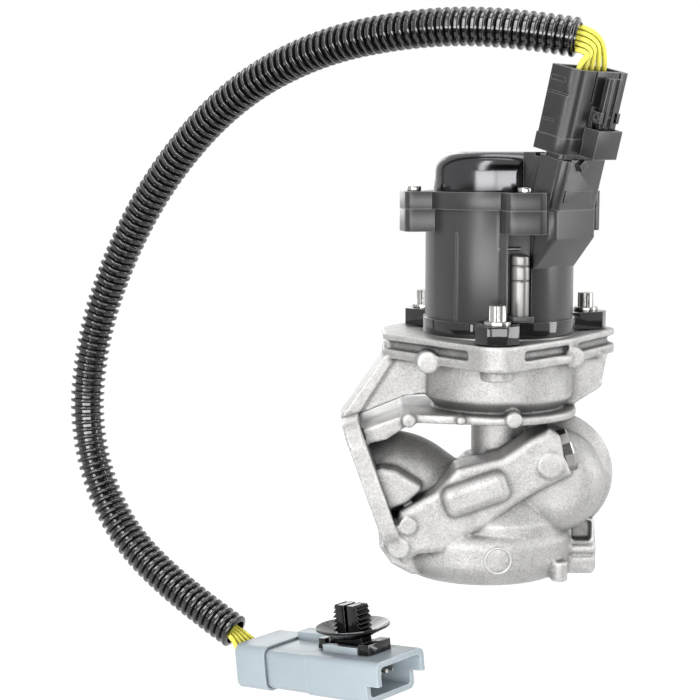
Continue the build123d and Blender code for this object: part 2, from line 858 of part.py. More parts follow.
# Moulded drum with its ears, front slot, column foot and the wedge under the tower
wedge_inner = drum_bore_radius + 1
wedge_foot_length = drum_radius - 0.5 - wedge_inner
wedge_middle = (wedge_reach + wedge_inner) / 2
with BuildSketch() as shoulder_plan:
    with PolarLocations(cover_ear_middle, 1, start_angle=slot_angle):
        RectangleRounded(cover_ear_length, cover_ear_width, cover_ear_corner)
    with PolarLocations(wedge_middle, 1, start_angle=tower_angle):
        RectangleRounded(wedge_reach - wedge_inner, tower_width, wedge_corner_radius)
    make_hull()
    with PolarLocations(wedge_valley_place, 1, start_angle=wedge_valley_angle):
        Circle(wedge_valley_radius, mode=Mode.SUBTRACT)

with BuildPart() as wedge_skirt_blank:
    with BuildSketch(around(tower_angle, cover_foot - wedge_skirt)):
        with Locations((wedge_middle, 0)):
            RectangleRounded(wedge_reach - wedge_inner, tower_width, wedge_corner_radius)
    with BuildSketch(around(tower_angle, cover_foot - wedge_foot)):
        with Locations((wedge_inner + wedge_foot_length / 2, (wedge_foot_width - tower_width) / 2)):
            RectangleRounded(wedge_foot_length, wedge_foot_width, 0.8)
    loft()

with BuildPart() as actuator_body:
    with BuildSketch(level(ring_top)):
        Circle(drum_radius)
    extrude(amount=drum_height)
    with BuildSketch(level(slot_top)):
        with PolarLocations(cover_ear_middle, screw_count, start_angle=screw_start):
            RectangleRounded(cover_ear_length, cover_ear_width, cover_ear_corner)
        add(shoulder_plan.sketch)
    extrude(amount=drum_ear_thickness)
    with BuildSketch(around(tower_angle, cover_foot - wedge_skirt)):
        with Locations((wedge_middle, 0)):
            RectangleRounded(wedge_reach - wedge_inner, tower_width, wedge_corner_radius)
    extrude(amount=wedge_skirt)
    add(wedge_skirt_blank.part)
    with BuildSketch(around(slot_angle, ring_ear_top + 0.2)):
        with Locations((column_centre_radius - 1, 0)):
            RectangleRounded(9.5, slot_width, 1.2)
    extrude(amount=column_foot - ring_ear_top - 0.2)
    with BuildSketch(around(slot_angle, column_foot)):
        with Locations((slot_floor_radius + 5, 0)):
            Rectangle(10, slot_width)
    extrude(amount=slot_top - column_foot, mode=Mode.SUBTRACT)
    with BuildSketch(level(ring_top)):
        Circle(drum_bore_radius)
    extrude(amount=drum_height, mode=Mode.SUBTRACT)
    with BuildSketch(level(cover_foot)):
        with PolarLocations(screw_circle_radius, screw_count, start_angle=screw_start):
            Circle(screw_radius + running_clearance)
    extrude(amount=cover_thickness - screw_length - 1, mode=Mode.SUBTRACT)
    pin_seat = Plane(
        around(slot_angle, locating_pin_height).from_local_coords((locating_pin_circle, -slot_width / 2, 0)),
        z_dir=-around(slot_angle, 0).y_dir,
    )
    with BuildSketch(pin_seat):
        Circle(locating_pin_radius)
    extrude(amount=locating_pin_bite, mode=Mode.SUBTRACT)
    # Mould line down the drum's front left
    with BuildSketch(around(mould_line_angle, ring_top)):
        with Locations((drum_radius, 0)):
            Rectangle(0.7, 0.9)
    extrude(amount=drum_height - drum_ear_thickness)
actuator_body.part.label = "actuator_body"

with BuildPart() as slot_column:
    with BuildSketch(radial(slot_angle)):
        with BuildLine():
            Polyline(
                (column_centre_radius, column_foot),
                (column_centre_radius + column_radius, column_foot),
                (column_centre_radius + column_radius, column_top - 9),
                (column_centre_radius + column_radius - column_groove, column_top - 8.6),
                (column_centre_radius + column_radius, column_top - 8.2),
                (column_centre_radius + column_radius, column_top - 4),
                (column_centre_radius + column_radius - column_groove, column_top - 3.6),
                (column_centre_radius + column_radius, column_top - 3.2),
                (column_centre_radius + column_radius, column_top - 0.5),
                (column_centre_radius + column_radius - 0.5, column_top),
                (column_centre_radius, column_top),
                close=True,
            )
        make_face()
    revolve(axis=Axis(around(slot_angle, 0).from_local_coords((column_centre_radius, 0, 0)), (0, 0, 1)))
slot_column.part.label = "slot_column"

with BuildPart() as locating_pin:
    with BuildSketch(pin_seat):
        Circle(locating_pin_radius)
    extrude(amount=locating_pin_bite)
    with BuildSketch(pin_seat):
        Circle(locating_pin_radius)
    extrude(amount=-slot_width / 2 - locating_pin_reach)
locating_pin.part.label = "locating_pin"

# Solenoid: pole plate, flux tube with its bearing, bobbin, winding and armature
with BuildPart() as pole_plate:
    with BuildSketch(level(ring_top)):
        Circle(drum_bore_radius - coil_clearance)
        Circle(pole_bush_radius, mode=Mode.SUBTRACT)
    extrude(amount=pole_plate_thickness)
pole_plate.part.label = "pole_plate"

with BuildPart() as flux_tube:
    with BuildSketch(level(coil_foot)):
        Circle(flux_radius)
        Circle(flux_bore, mode=Mode.SUBTRACT)
    extrude(amount=spring_top - coil_foot)
    with BuildSketch(level(spring_top)):
        Circle(flux_radius)
        Circle(plunger_radius + 1, mode=Mode.SUBTRACT)
    extrude(amount=flux_lip)
flux_tube.part.label = "flux_tube"

with BuildPart() as armature_bearing:
    with BuildSketch(level(coil_foot)):
        Circle(flux_bore)
        Circle(bearing_bore, mode=Mode.SUBTRACT)
    extrude(amount=armature_length + armature_gap + lift)
armature_bearing.part.label = "armature_bearing"

bobbin_top = cover_foot - 4
with BuildPart() as coil_bobbin:
    with BuildSketch(upright):
        with BuildLine():
            Polyline(
                (flux_radius + coil_clearance, coil_foot),
                (winding_radius + 0.8, coil_foot),
                (winding_radius + 0.8, coil_foot + bobbin_flange),
                (bobbin_core_radius, coil_foot + bobbin_flange),
                (bobbin_core_radius, bobbin_top - bobbin_flange),
                (winding_radius + 0.8, bobbin_top - bobbin_flange),
                (winding_radius + 0.8, bobbin_top),
                (flux_radius + coil_clearance, bobbin_top),
                close=True,
            )
        make_face()
    revolve(axis=valve_axis)
coil_bobbin.part.label = "coil_bobbin"

with BuildPart() as coil_winding:
    with BuildSketch(level(coil_foot + bobbin_flange)):
        Circle(winding_radius)
        Circle(bobbin_core_radius, mode=Mode.SUBTRACT)
    extrude(amount=bobbin_top - coil_foot - 2 * bobbin_flange)
coil_winding.part.label = "coil_winding"

with BuildPart() as armature:
    with BuildSketch(level(armature_foot)):
        Circle(armature_radius)
        Circle(stem_radius, mode=Mode.SUBTRACT)
    extrude(amount=armature_length - 4)
    with BuildSketch(level(armature_top - 4)):
        Circle(armature_radius)
    extrude(amount=4)
armature.part.label = "armature"

with BuildPart() as spring_retainer:
    with BuildSketch(level(armature_top)):
        Circle(spring_radius + 1.6)
        Circle(plunger_radius, mode=Mode.SUBTRACT)
    extrude(amount=spring_retainer_thickness)
spring_retainer.part.label = "spring_retainer"

spring_rise = spring_top - spring_foot - 2 * spring_wire_radius - 0.2
with BuildPart() as return_spring:
    with BuildLine():
        Helix(
            pitch=spring_rise / spring_turns,
            height=spring_rise,
            radius=spring_radius,
            center=(flange_to_axis, 0, spring_foot + spring_wire_radius + 0.1 - foot_drop),
        )
    with BuildSketch(
        Plane(
            (flange_to_axis + spring_radius, 0, spring_foot + spring_wire_radius + 0.1 - foot_drop),
            x_dir=(1, 0, 0),
            z_dir=(0, 2 * pi * spring_radius, spring_rise / spring_turns),
        )
    ):
        RegularPolygon(spring_wire_radius, 6)
    sweep(is_frenet=True)
return_spring.part.label = "return_spring"

with BuildPart() as sensor_plunger:
    with BuildSketch(level(armature_top)):
        Circle(plunger_radius)
    extrude(amount=plunger_length)
    fillet(sensor_plunger.faces().sort_by(Axis.Z)[-1].edges(), radius=0.8)
sensor_plunger.part.label = "sensor_plunger"

# Black cover with its ears, the saddle beside the dome and the leaning connector tower
with BuildPart() as top_cover:
    with BuildSketch(level(cover_foot)):
        Circle(cover_radius)
    extrude(amount=cover_thickness)
    with BuildSketch(level(cover_foot)):
        with PolarLocations(cover_ear_middle, screw_count, start_angle=screw_start):
            RectangleRounded(cover_ear_length, cover_ear_width, cover_ear_corner)
        add(shoulder_plan.sketch)
    extrude(amount=cover_thickness)
    with BuildSketch(radial(tower_angle).offset(-tower_width / 2 + 1)):
        with BuildLine():
            Polyline(
                (saddle_inner, cover_top - 1),
                (saddle_inner, dome_top),
                (saddle_outer, dome_top),
                (saddle_outer, dome_top - 1.3),
                (saddle_outer + 2.6, dome_top - 1.3),
                (saddle_outer + 2.6, cover_top - 1),
                close=True,
            )
        make_face()
    extrude(amount=tower_width - 2)
    with BuildSketch(tower_plane.offset(tower_sink)):
        with Locations((0, (tower_inner - tower_outer) / 2)):
            RectangleRounded(tower_width, tower_inner + tower_outer, 1.5)
        with Locations((tower_rib_radius - tower_width / 2, 0.4 - tower_outer)):
            Circle(tower_rib_radius)
    extrude(amount=tower_shoulder - tower_neck - tower_sink)
    with BuildSketch(tower_plane.offset(tower_shoulder - tower_neck)):
        with Locations((0, (tower_inner - tower_outer) / 2)):
            RectangleRounded(
                tower_width - 2 * tower_neck_inset, tower_inner + tower_outer - 2 * tower_neck_inset, 1.5
            )
    extrude(amount=tower_neck)
    with BuildSketch(tower_plane.offset(tower_sink)):
        with Locations((2 * tower_rib_radius + tower_groove - tower_width / 4, -tower_outer / 2)):
            Rectangle(tower_width / 2 + 2 * tower_rib_radius, tower_outer + 2 * tower_plinth_rise)
    extrude(amount=tower_plinth - tower_sink)
    with BuildSketch(tower_plane.offset(tower_shoulder)):
        RectangleRounded(shroud_width, shroud_depth, 2)
        RectangleRounded(shroud_width - 2 * shroud_wall, shroud_depth - 2 * shroud_wall, 1, mode=Mode.SUBTRACT)
    extrude(amount=shroud_length)
    # Groove beside the tower's rib, and the catch of the latch
    with BuildSketch(tower_plane.offset(tower_sink + 2)):
        with Locations((2 * tower_rib_radius + tower_groove / 2 - tower_width / 2, -tower_outer)):
            Rectangle(tower_groove, 2.4)
    extrude(amount=tower_shoulder - tower_sink - 2, mode=Mode.SUBTRACT)
    catch_spot = tower_plane.from_local_coords((-1.8, -tower_outer, tower_shoulder - 3))
    with BuildSketch(Plane(catch_spot, x_dir=tower_plane.x_dir, z_dir=-tower_plane.y_dir)):
        Rectangle(3, 3, rotation=45)
    extrude(amount=1.6)
    # Way of the plunger, sensor room, dome groove, screw holes and terminal slots
    with BuildSketch(level(cover_foot)):
        Circle(flux_radius + 1)
    extrude(amount=cover_thickness, mode=Mode.SUBTRACT)
    with BuildSketch(level(cover_top - dome_seat_depth - dome_seal_thickness)):
        Circle(dome_radius + 0.1)
        Circle(dome_radius - dome_wall - 0.1, mode=Mode.SUBTRACT)
        with Locations(Location((0, 0, 0), tower_angle)):
            with Locations((saddle_inner + 10, 0)):
                Rectangle(20, 2 * dome_radius, mode=Mode.SUBTRACT)
    extrude(amount=dome_seat_depth + dome_seal_thickness, mode=Mode.SUBTRACT)
    with BuildSketch(level(cover_foot)):
        with PolarLocations(screw_circle_radius, screw_count, start_angle=screw_start):
            Circle(screw_radius + 0.2)
    extrude(amount=cover_thickness, mode=Mode.SUBTRACT)
    with BuildSketch(tower_plane.offset(tower_shoulder - terminal_bite)):
        with GridLocations(terminal_pitch, 1, terminal_count, 1):
            Rectangle(terminal_width, terminal_thickness)
    extrude(amount=terminal_bite, mode=Mode.SUBTRACT)
top_cover.part.label = "top_cover"

with BuildPart() as tower_terminals:
    with BuildSketch(tower_plane.offset(tower_shoulder - terminal_bite)):
        with GridLocations(terminal_pitch, 1, terminal_count, 1):
            Rectangle(terminal_width, terminal_thickness)
    extrude(amount=terminal_length)
tower_terminals.part.label = "tower_terminals"

with BuildPart() as cover_screws:
    with BuildSketch(level(cover_top - screw_length)):
        with PolarLocations(screw_circle_radius, screw_count, start_angle=screw_start):
            Circle(screw_radius)
    extrude(amount=screw_length)
    with BuildSketch(level(cover_top)):
        with PolarLocations(screw_circle_radius, screw_count, start_angle=screw_start):
            Circle(screw_head_radius)
    extrude(amount=screw_head_height)
cover_screws.part.label = "cover_screws"

# Steel dome, cut flat where the saddle stands, with its seal and the sensor inside
with BuildPart() as dome_cap:
    with BuildSketch(upright):
        with BuildLine():
            outer_side = Line((dome_radius, cover_top - dome_seat_depth), (dome_radius, dome_shoulder))
            outer_arc = RadiusArc(outer_side @ 1, (dome_radius - dome_corner_radius, dome_top), -dome_corner_radius)
            outer_top = Line(outer_arc @ 1, (0, dome_top))
            inner_drop = Line(outer_top @ 1, (0, dome_top - dome_wall))
            inner_top = Line(inner_drop @ 1, (dome_radius - dome_corner_radius, dome_top - dome_wall))
            inner_arc = RadiusArc(inner_top @ 1, (dome_radius - dome_wall, dome_shoulder), dome_corner_radius - dome_wall)
            inner_side = Line(inner_arc @ 1, (dome_radius - dome_wall, cover_top - dome_seat_depth))
            Line(inner_side @ 1, outer_side @ 0)
        make_face()
    revolve(axis=valve_axis)
    with BuildSketch(around(tower_angle, cover_top - dome_seat_depth)):
        with Locations((saddle_inner + 10, 0)):
            Rectangle(20.4, 2 * dome_radius)
    extrude(amount=dome_height + dome_seat_depth, mode=Mode.SUBTRACT)
dome_cap.part.label = "dome_cap"

with BuildPart() as dome_seal:
    with BuildSketch(level(cover_top - dome_seat_depth - dome_seal_thickness)):
        Circle(dome_radius)
        Circle(dome_radius - dome_wall, mode=Mode.SUBTRACT)
        with Locations(Location((0, 0, 0), tower_angle)):
            with Locations((saddle_inner + 10, 0)):
                Rectangle(20.4, 2 * dome_radius, mode=Mode.SUBTRACT)
    extrude(amount=dome_seal_thickness)
dome_seal.part.label = "dome_seal"

with BuildPart() as sensor_carrier:
    with BuildSketch(level(cover_top)):
        with Locations((-9.5, 0)):
            RectangleRounded(5, 18, 1)
        with Locations((-12.6, 0)):
            Rectangle(7, 8)
    extrude(amount=9)
sensor_carrier.part.label = "sensor_carrier"

with BuildPart() as sensor_board:
    with BuildSketch(level(cover_top + 0.4)):
        with Locations((-6.4, 0)):
            Rectangle(1.2, 14)
    extrude(amount=9.5)
sensor_board.part.label = "sensor_board"

# Black five-way plug on the tower, with its bridge and hinge ears
plug_plane = tower_plane.offset(tower_shoulder + plug_gap)
plug_face = plug_depth / 2
rib_length = plug_length - latch_hinge_height - 3
with BuildPart() as plug_housing:
    for height, rise in ((plug_length, 0), (plug_skirt_height, plug_skirt_rise)):
        with BuildSketch(plug_plane) as plug_section:
            Rectangle(plug_width + 2 * rise, plug_depth + 2 * rise)
            fillet(plug_section.vertices().group_by(Axis.X)[-1], radius=plug_corner_radius)
            fillet(plug_section.vertices().group_by(Axis.X)[0].sort_by(Axis.Y)[0], radius=plug_round_radius)
        extrude(amount=height)
    # Bridge that guards the latch
    with BuildSketch(plug_plane):
        with Locations((latch_offset, -plug_face - bridge_depth / 2)):
            Rectangle(bridge_width, bridge_depth)
            Rectangle(bridge_width - 2 * bridge_wall, bridge_depth - 2 * bridge_wall, mode=Mode.SUBTRACT)
        with Locations((latch_offset, -plug_face - bridge_wall / 2)):
            Rectangle(bridge_width - 2 * bridge_wall, bridge_wall + 0.02, mode=Mode.SUBTRACT)
    extrude(amount=bridge_height)
    # Hinge ears of the latch and guide ribs above them
    for side in (-1, 1):
        ear_place = latch_offset + side * (latch_pin_reach - latch_ear_width / 2)
        with BuildSketch(plug_plane.offset(latch_hinge_height - latch_ear_height / 2)):
            with Locations((ear_place, 0.2 - plug_face - latch_ear_depth / 2)):
                Rectangle(latch_ear_width, latch_ear_depth)
        extrude(amount=latch_ear_height)
        # Rib that stands higher towards the plug's top
        rib_plane = Plane(
            plug_plane.from_local_coords((ear_place - 0.6, -plug_face, latch_hinge_height + 3)),
            x_dir=-plug_plane.y_dir,
            z_dir=plug_plane.x_dir,
        )
        with BuildSketch(rib_plane):
            with BuildLine():
                Polyline((-0.4, 0), (0.6, 0), (2.0, rib_length), (-0.4, rib_length), close=True)
            make_face()
        extrude(amount=1.2)
        with BuildSketch(plug_plane.offset(plug_length - plug_slot_length)):
            with Locations((ear_place + side * (latch_ear_width / 2 + plug_slot_width), -plug_face)):
                Rectangle(plug_slot_width, 2 * plug_slot_depth)
        extrude(amount=plug_slot_length, mode=Mode.SUBTRACT)
    # Slots of the narrow left face
    for slot_drop, slot_height, slot_width_share in ((3.5, 1.3, 0.5), (8.5, 0.5, 0.7), (17.5, 0.5, 0.4)):
        with BuildSketch(plug_plane.offset(plug_length - slot_drop - slot_height)):
            with Locations((-plug_width / 2, plug_depth * (0.5 - slot_width_share / 2) - 0.8)):
                Rectangle(1.2, plug_depth * slot_width_share)
        extrude(amount=slot_height, mode=Mode.SUBTRACT)
    # Sunk top that the wires enter
    with BuildSketch(plug_plane.offset(plug_length - plug_top_recess)):
        RectangleRounded(plug_width - 2 * plug_rim - 1.6, plug_depth - 2 * plug_rim, 1)
    extrude(amount=plug_top_recess, mode=Mode.SUBTRACT)
    # Room for the shroud, terminal ways and wire seals
    with BuildSketch(plug_plane):
        RectangleRounded(shroud_width + 2 * plug_fit, shroud_depth + 2 * plug_fit, 2 + plug_fit)
        RectangleRounded(shroud_core_width, shroud_core_depth, 0.8, mode=Mode.SUBTRACT)
    extrude(amount=shroud_length + 0.3, mode=Mode.SUBTRACT)
    with BuildSketch(plug_plane):
        with GridLocations(terminal_pitch, 1, terminal_count, 1):
            Rectangle(terminal_width + 0.4, terminal_thickness + 0.5)
    extrude(amount=terminal_length, mode=Mode.SUBTRACT)
    with BuildSketch(plug_plane.offset(plug_seal_foot)):
        with GridLocations(terminal_pitch, 1, terminal_count, 1):
            Circle(seal_collar_radius)
    extrude(amount=seal_depth, mode=Mode.SUBTRACT)
    # Hole of the latch pin through both ears
    pin_line = Plane(
        plug_plane.from_local_coords((latch_offset - latch_width, latch_axis_y, latch_hinge_height)),
        z_dir=plug_plane.x_dir,
    )
    with BuildSketch(pin_line):
        Circle(latch_pin_radius + running_clearance)
    extrude(amount=2 * latch_width, mode=Mode.SUBTRACT)
plug_housing.part.label = "plug_housing"

with BuildPart() as plug_latch:
    with BuildSketch(plug_plane.offset(latch_foot)):
        with Locations((latch_offset, latch_axis_y)):
            Rectangle(latch_width, latch_thickness)
    extrude(amount=latch_length)
    with BuildSketch(plug_plane.offset(bridge_height + 0.8)):
        with Locations((latch_offset, latch_axis_y - latch_thickness / 2)):
            with GridLocations(latch_rib_pitch, 1, latch_rib_count, 1):
                Rectangle(latch_rib_width, 2 * latch_rib_rise)
    extrude(amount=latch_foot + latch_length - bridge_height - 0.8)
    pin_line_start = Plane(
        plug_plane.from_local_coords((latch_offset - latch_pin_reach, latch_axis_y, latch_hinge_height)),
        z_dir=plug_plane.x_dir,
    )
    with BuildSketch(pin_line_start):
        Circle(latch_pin_radius)
    extrude(amount=2 * latch_pin_reach)
plug_latch.part.label = "plug_latch"

with BuildPart() as tower_seal:
    with BuildSketch(plug_plane.offset(shroud_length + 0.3 - 1.2)):
        RectangleRounded(shroud_width - 2 * shroud_wall - 0.3, shroud_depth - 2 * shroud_wall - 0.3, 1)
        RectangleRounded(shroud_core_width + 0.1, shroud_core_depth + 0.1, 0.8, mode=Mode.SUBTRACT)
    extrude(amount=1.2)
tower_seal.part.label = "tower_seal"

wire_places = [terminal_pitch * (index - (terminal_count - 1) / 2) for index in range(terminal_count)]
with BuildPart() as wire_seals:
    with BuildSketch(plug_plane.offset(plug_seal_foot)):
        with GridLocations(terminal_pitch, 1, terminal_count, 1):
            Circle(seal_collar_radius)
            Circle(wire_radius + running_clearance, mode=Mode.SUBTRACT)
    extrude(amount=seal_depth + 0.6)
wire_seals.part.label = "wire_seals"

# Yellow wires from the plug into the conduit
conduit_start = Vector(*conduit_route[0])
conduit_entry = unit(Vector(*conduit_route[1]) - conduit_start)
conduit_end = Vector(*conduit_route[-1])
conduit_exit = unit(conduit_end - Vector(*conduit_route[-2]))
start_mouth = Plane(conduit_start, x_dir=Vector(0, 0, 1).cross(conduit_entry), z_dir=conduit_entry)
end_mouth = Plane(conduit_end, x_dir=Vector(0, 0, 1).cross(conduit_exit), z_dir=conduit_exit)
wire_bundle = [wire_pitch * (index - (terminal_count - 1) / 2) for index in range(terminal_count)]


def wire_path(points):
    """Straight runs of one wire joined by tangent arcs, as large as the runs allow."""
    return FilletPolyline(*points, radius=turned_radii(points))


valve_wire_points = [
    [
        tuple(plug_plane.from_local_coords((place, 0, plug_length - 3.4))),
        tuple(plug_plane.from_local_coords((place, 0, plug_length + wire_rise + wire_rise_step * index))),
        tuple(start_mouth.from_local_coords((-across, 0, -5.5))),
        tuple(start_mouth.from_local_coords((-across, 0, 3.5))),
    ]
    for index, (place, across) in enumerate(zip(wire_places, wire_bundle))
]
with BuildPart() as valve_wires:
    for points in valve_wire_points:
        with BuildLine():
            wire_path(points)
        with BuildSketch(Plane(points[0], z_dir=Vector(*points[1]) - Vector(*points[0]))):
            RegularPolygon(wire_radius, wire_sides)
        sweep()
valve_wires.part.label = "valve_wires"

# Corrugated conduit
conduit_bends = turned_radii(conduit_route)
with BuildPart() as conduit:
    with BuildLine() as conduit_line:
        FilletPolyline(*conduit_route, radius=conduit_bends)
    with BuildSketch(Plane(conduit_route[0], z_dir=conduit_entry)):
        Circle(conduit_radius)
        Circle(conduit_radius - conduit_wall, mode=Mode.SUBTRACT)
    sweep()
conduit.part.label = "conduit"
conduit_length = conduit_line.line.wires()[0].length
conduit_section = pi * (conduit_radius**2 - (conduit_radius - conduit_wall) ** 2)
print("conduit radii", [round(bend, 1) for bend in conduit_bends])
conduit_volume = conduit_section * conduit_length
print("conduit length", round(conduit_length, 2), "volume ratio", conduit.part.volume / conduit_volume)

# Yellow wires from the conduit into the grey connector
connector_wire_points = [
    [
        tuple(end_mouth.from_local_coords((across, 0, -5.0))),
        tuple(end_mouth.from_local_coords((across, 0, 1.5))),
        tuple(connector_plane.from_local_coords((place, 0, -4.0))),
        tuple(connector_plane.from_local_coords((place, 0, 2.6))),
    ]
    for place, across in zip(wire_places, wire_bundle)
]
with BuildPart() as connector_wires:
    for points in connector_wire_points:
        with BuildLine():
            wire_path(points)
        with BuildSketch(Plane(points[0], z_dir=Vector(*points[1]) - Vector(*points[0]))):
            RegularPolygon(wire_radius, wire_sides)
        sweep()
connector_wires.part.label = "connector_wires"

# Grey connector: rear collar, housing with its open mouth, and pins
with BuildPart() as connector_collar:
    with BuildSketch(connector_plane):
        RectangleRounded(collar_width, collar_height, connector_corner_radius + 0.8)
    extrude(amount=collar_length)
    with BuildSketch(connector_plane.offset(collar_floor)):
        RectangleRounded(connector_width + 0.2, connector_height + 0.2, connector_corner_radius)
    extrude(amount=collar_length - collar_floor, mode=Mode.SUBTRACT)
    with BuildSketch(connector_plane):
        with GridLocations(terminal_pitch, 1, terminal_count, 1):
            Circle(wire_radius + running_clearance)
    extrude(amount=collar_floor, mode=Mode.SUBTRACT)
connector_collar.part.label = "connector_collar"

connector_end = collar_length + connector_length
connector_top = connector_height / 2 + connector_step_rise
with BuildPart() as connector_housing:
    with BuildSketch(connector_plane.offset(collar_floor)):
        RectangleRounded(connector_width, connector_height, connector_corner_radius)
    extrude(amount=connector_end - collar_floor)
    mouth_width = connector_width + 2 * connector_step_rise
    mouth_height = connector_height + 2 * connector_step_rise
    with BuildSketch(connector_plane.offset(collar_length + connector_step)):
        RectangleRounded(mouth_width, mouth_height, connector_corner_radius)
    extrude(amount=connector_length - connector_step)
    # Latch block on the rear of the top
    with BuildSketch(connector_plane.offset(collar_length + collar_gap)):
        with Locations((connector_width / 2 - 4.2, connector_height / 2 + 1.3)):
            Rectangle(6.6, 3.4)
    extrude(amount=15.5)
    # Rails of the clip
    for side in (-1, 1):
        with BuildSketch(connector_plane.offset(collar_length + clip_place - 9.5)):
            with Locations((side * (clip_foot_width / 2 + 1.0), connector_top + clip_rail_height / 2 - 0.2)):
                Rectangle(1.4, clip_rail_height + 0.4)
            with Locations((side * (clip_foot_width / 2 + 0.1), connector_top + clip_rail_height - 0.4)):
                Rectangle(2.2, 0.8)
        extrude(amount=16.4)
    # Mouth, its keyways, and the lower lip cut back
    with BuildSketch(connector_plane.offset(connector_end - connector_mouth_depth)):
        RectangleRounded(connector_width - 2 * connector_wall, connector_height - 2 * connector_wall, 1.6)
    extrude(amount=connector_mouth_depth, mode=Mode.SUBTRACT)
    with BuildSketch(connector_plane.offset(connector_end - mouth_step)):
        with Locations((0, -connector_height / 2 - 0.8)):
            Rectangle(connector_width + 2, connector_height)
    extrude(amount=mouth_step, mode=Mode.SUBTRACT)
    with BuildSketch(connector_plane.offset(connector_end - connector_mouth_depth - pin_bite)):
        with GridLocations(terminal_pitch, 1, terminal_count, 1):
            Circle(pin_radius)
    extrude(amount=pin_bite, mode=Mode.SUBTRACT)
connector_housing.part.label = "connector_housing"

with BuildPart() as connector_pins:
    with BuildSketch(connector_plane.offset(connector_end - connector_mouth_depth - pin_bite)):
        with GridLocations(terminal_pitch, 1, terminal_count, 1):
            Circle(pin_radius)
    extrude(amount=pin_length)
connector_pins.part.label = "connector_pins"

# Fir-tree clip on the rails: foot, neck, dished disc and finned stem
clip_plane = Plane(
    connector_plane.from_local_coords((0, connector_top + 0.1, collar_length + clip_place)),
    x_dir=connector_plane.z_dir,
    z_dir=connector_plane.y_dir,
)
clip_axis = Axis(clip_plane.origin, clip_plane.z_dir)
clip_disc_foot = clip_neck_height
clip_stem_foot = clip_neck_height + clip_disc_thickness
with BuildPart() as cable_clip:
    with BuildSketch(clip_plane):
        with Locations((-1.5, 0)):
            RectangleRounded(clip_foot_length, clip_foot_width - 2.4, 1)
    extrude(amount=clip_rail_height - 1.0)
    with BuildSketch(clip_plane):
        with Locations((-12.5, 0)):
            Rectangle(3, clip_foot_width - 2.4)
        with Locations((9.6, 0)):
            Rectangle(4.5, clip_foot_width + 2)
    extrude(amount=clip_rail_height + 1.2)
    with BuildSketch(clip_plane):
        RectangleRounded(13, clip_fin_depth - 1, 1)
    extrude(amount=clip_neck_height + 0.2)
    clip_upright = Plane(clip_plane.origin, x_dir=clip_plane.x_dir, z_dir=-clip_plane.y_dir)
    with BuildSketch(clip_upright):
        with BuildLine():
            Polyline(
                (0, clip_disc_foot),
                (clip_disc_radius / 2, clip_disc_foot),
                (clip_disc_radius, clip_disc_foot + clip_disc_rise),
                (clip_disc_radius, clip_disc_foot + clip_disc_rise + 0.8 * clip_disc_thickness),
                (clip_disc_radius / 2, clip_disc_foot + clip_disc_thickness),
                (0, clip_disc_foot + clip_disc_thickness),
                close=True,
            )
        make_face()
    revolve(axis=clip_axis)
    # Two posts with a gap between them and saw teeth down their outer sides
    post_foot = clip_stem_foot - 0.2
    post_top = clip_disc_foot + clip_stem_length
    for side in (-1, 1):
        saw = [(clip_gap / 2, post_foot), (clip_root, post_foot)]
        for fin in range(clip_fin_count):
            fin_foot = post_foot + 0.9 + fin * clip_fin_pitch
            fin_reach = clip_fin_width / 2 - clip_top_taper * max(0, fin - clip_fin_count + 3)
            saw += [(clip_root, fin_foot), (fin_reach, fin_foot), (clip_root, fin_foot + clip_fin_rise)]
        saw += [(clip_root, post_top - 0.8), (clip_root - 1.2, post_top), (clip_gap / 2, post_top)]
        with BuildSketch(clip_upright.offset(-clip_fin_depth / 2)):
            with BuildLine():
                Polyline(*[(side * across, height) for across, height in saw], close=True)
            make_face()
        extrude(amount=clip_fin_depth)
cable_clip.part.label = "cable_clip"

parts = [
    valve_housing,
    closing_cap,
    valve_seat,
    valve_head,
    valve_stem,
    stem_guide,
    stem_seal,
    seal_retainer,
    housing_gasket,
    lower_ring,
    flange_bolts,
    actuator_body,
    slot_column,
    locating_pin,
    pole_plate,
    flux_tube,
    armature_bearing,
    coil_bobbin,
    coil_winding,
    armature,
    spring_retainer,
    return_spring,
    sensor_plunger,
    top_cover,
    tower_terminals,
    cover_screws,
    dome_cap,
    dome_seal,
    sensor_carrier,
    sensor_board,
    plug_housing,
    plug_latch,
    tower_seal,
    wire_seals,
    valve_wires,
    conduit,
    connector_wires,
    connector_collar,
    connector_housing,
    connector_pins,
    cable_clip,
]

os.makedirs("parts", exist_ok=True)
for piece in parts:
    export_step(piece.part, f"parts/{piece.part.label}.step")
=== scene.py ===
"""Solenoid exhaust gas valve with its pigtail harness: finishes, conduit, wires and studio stage."""

from math import cos, pi, radians, sin

import bmesh
import bpy
from mathutils import Matrix, Vector


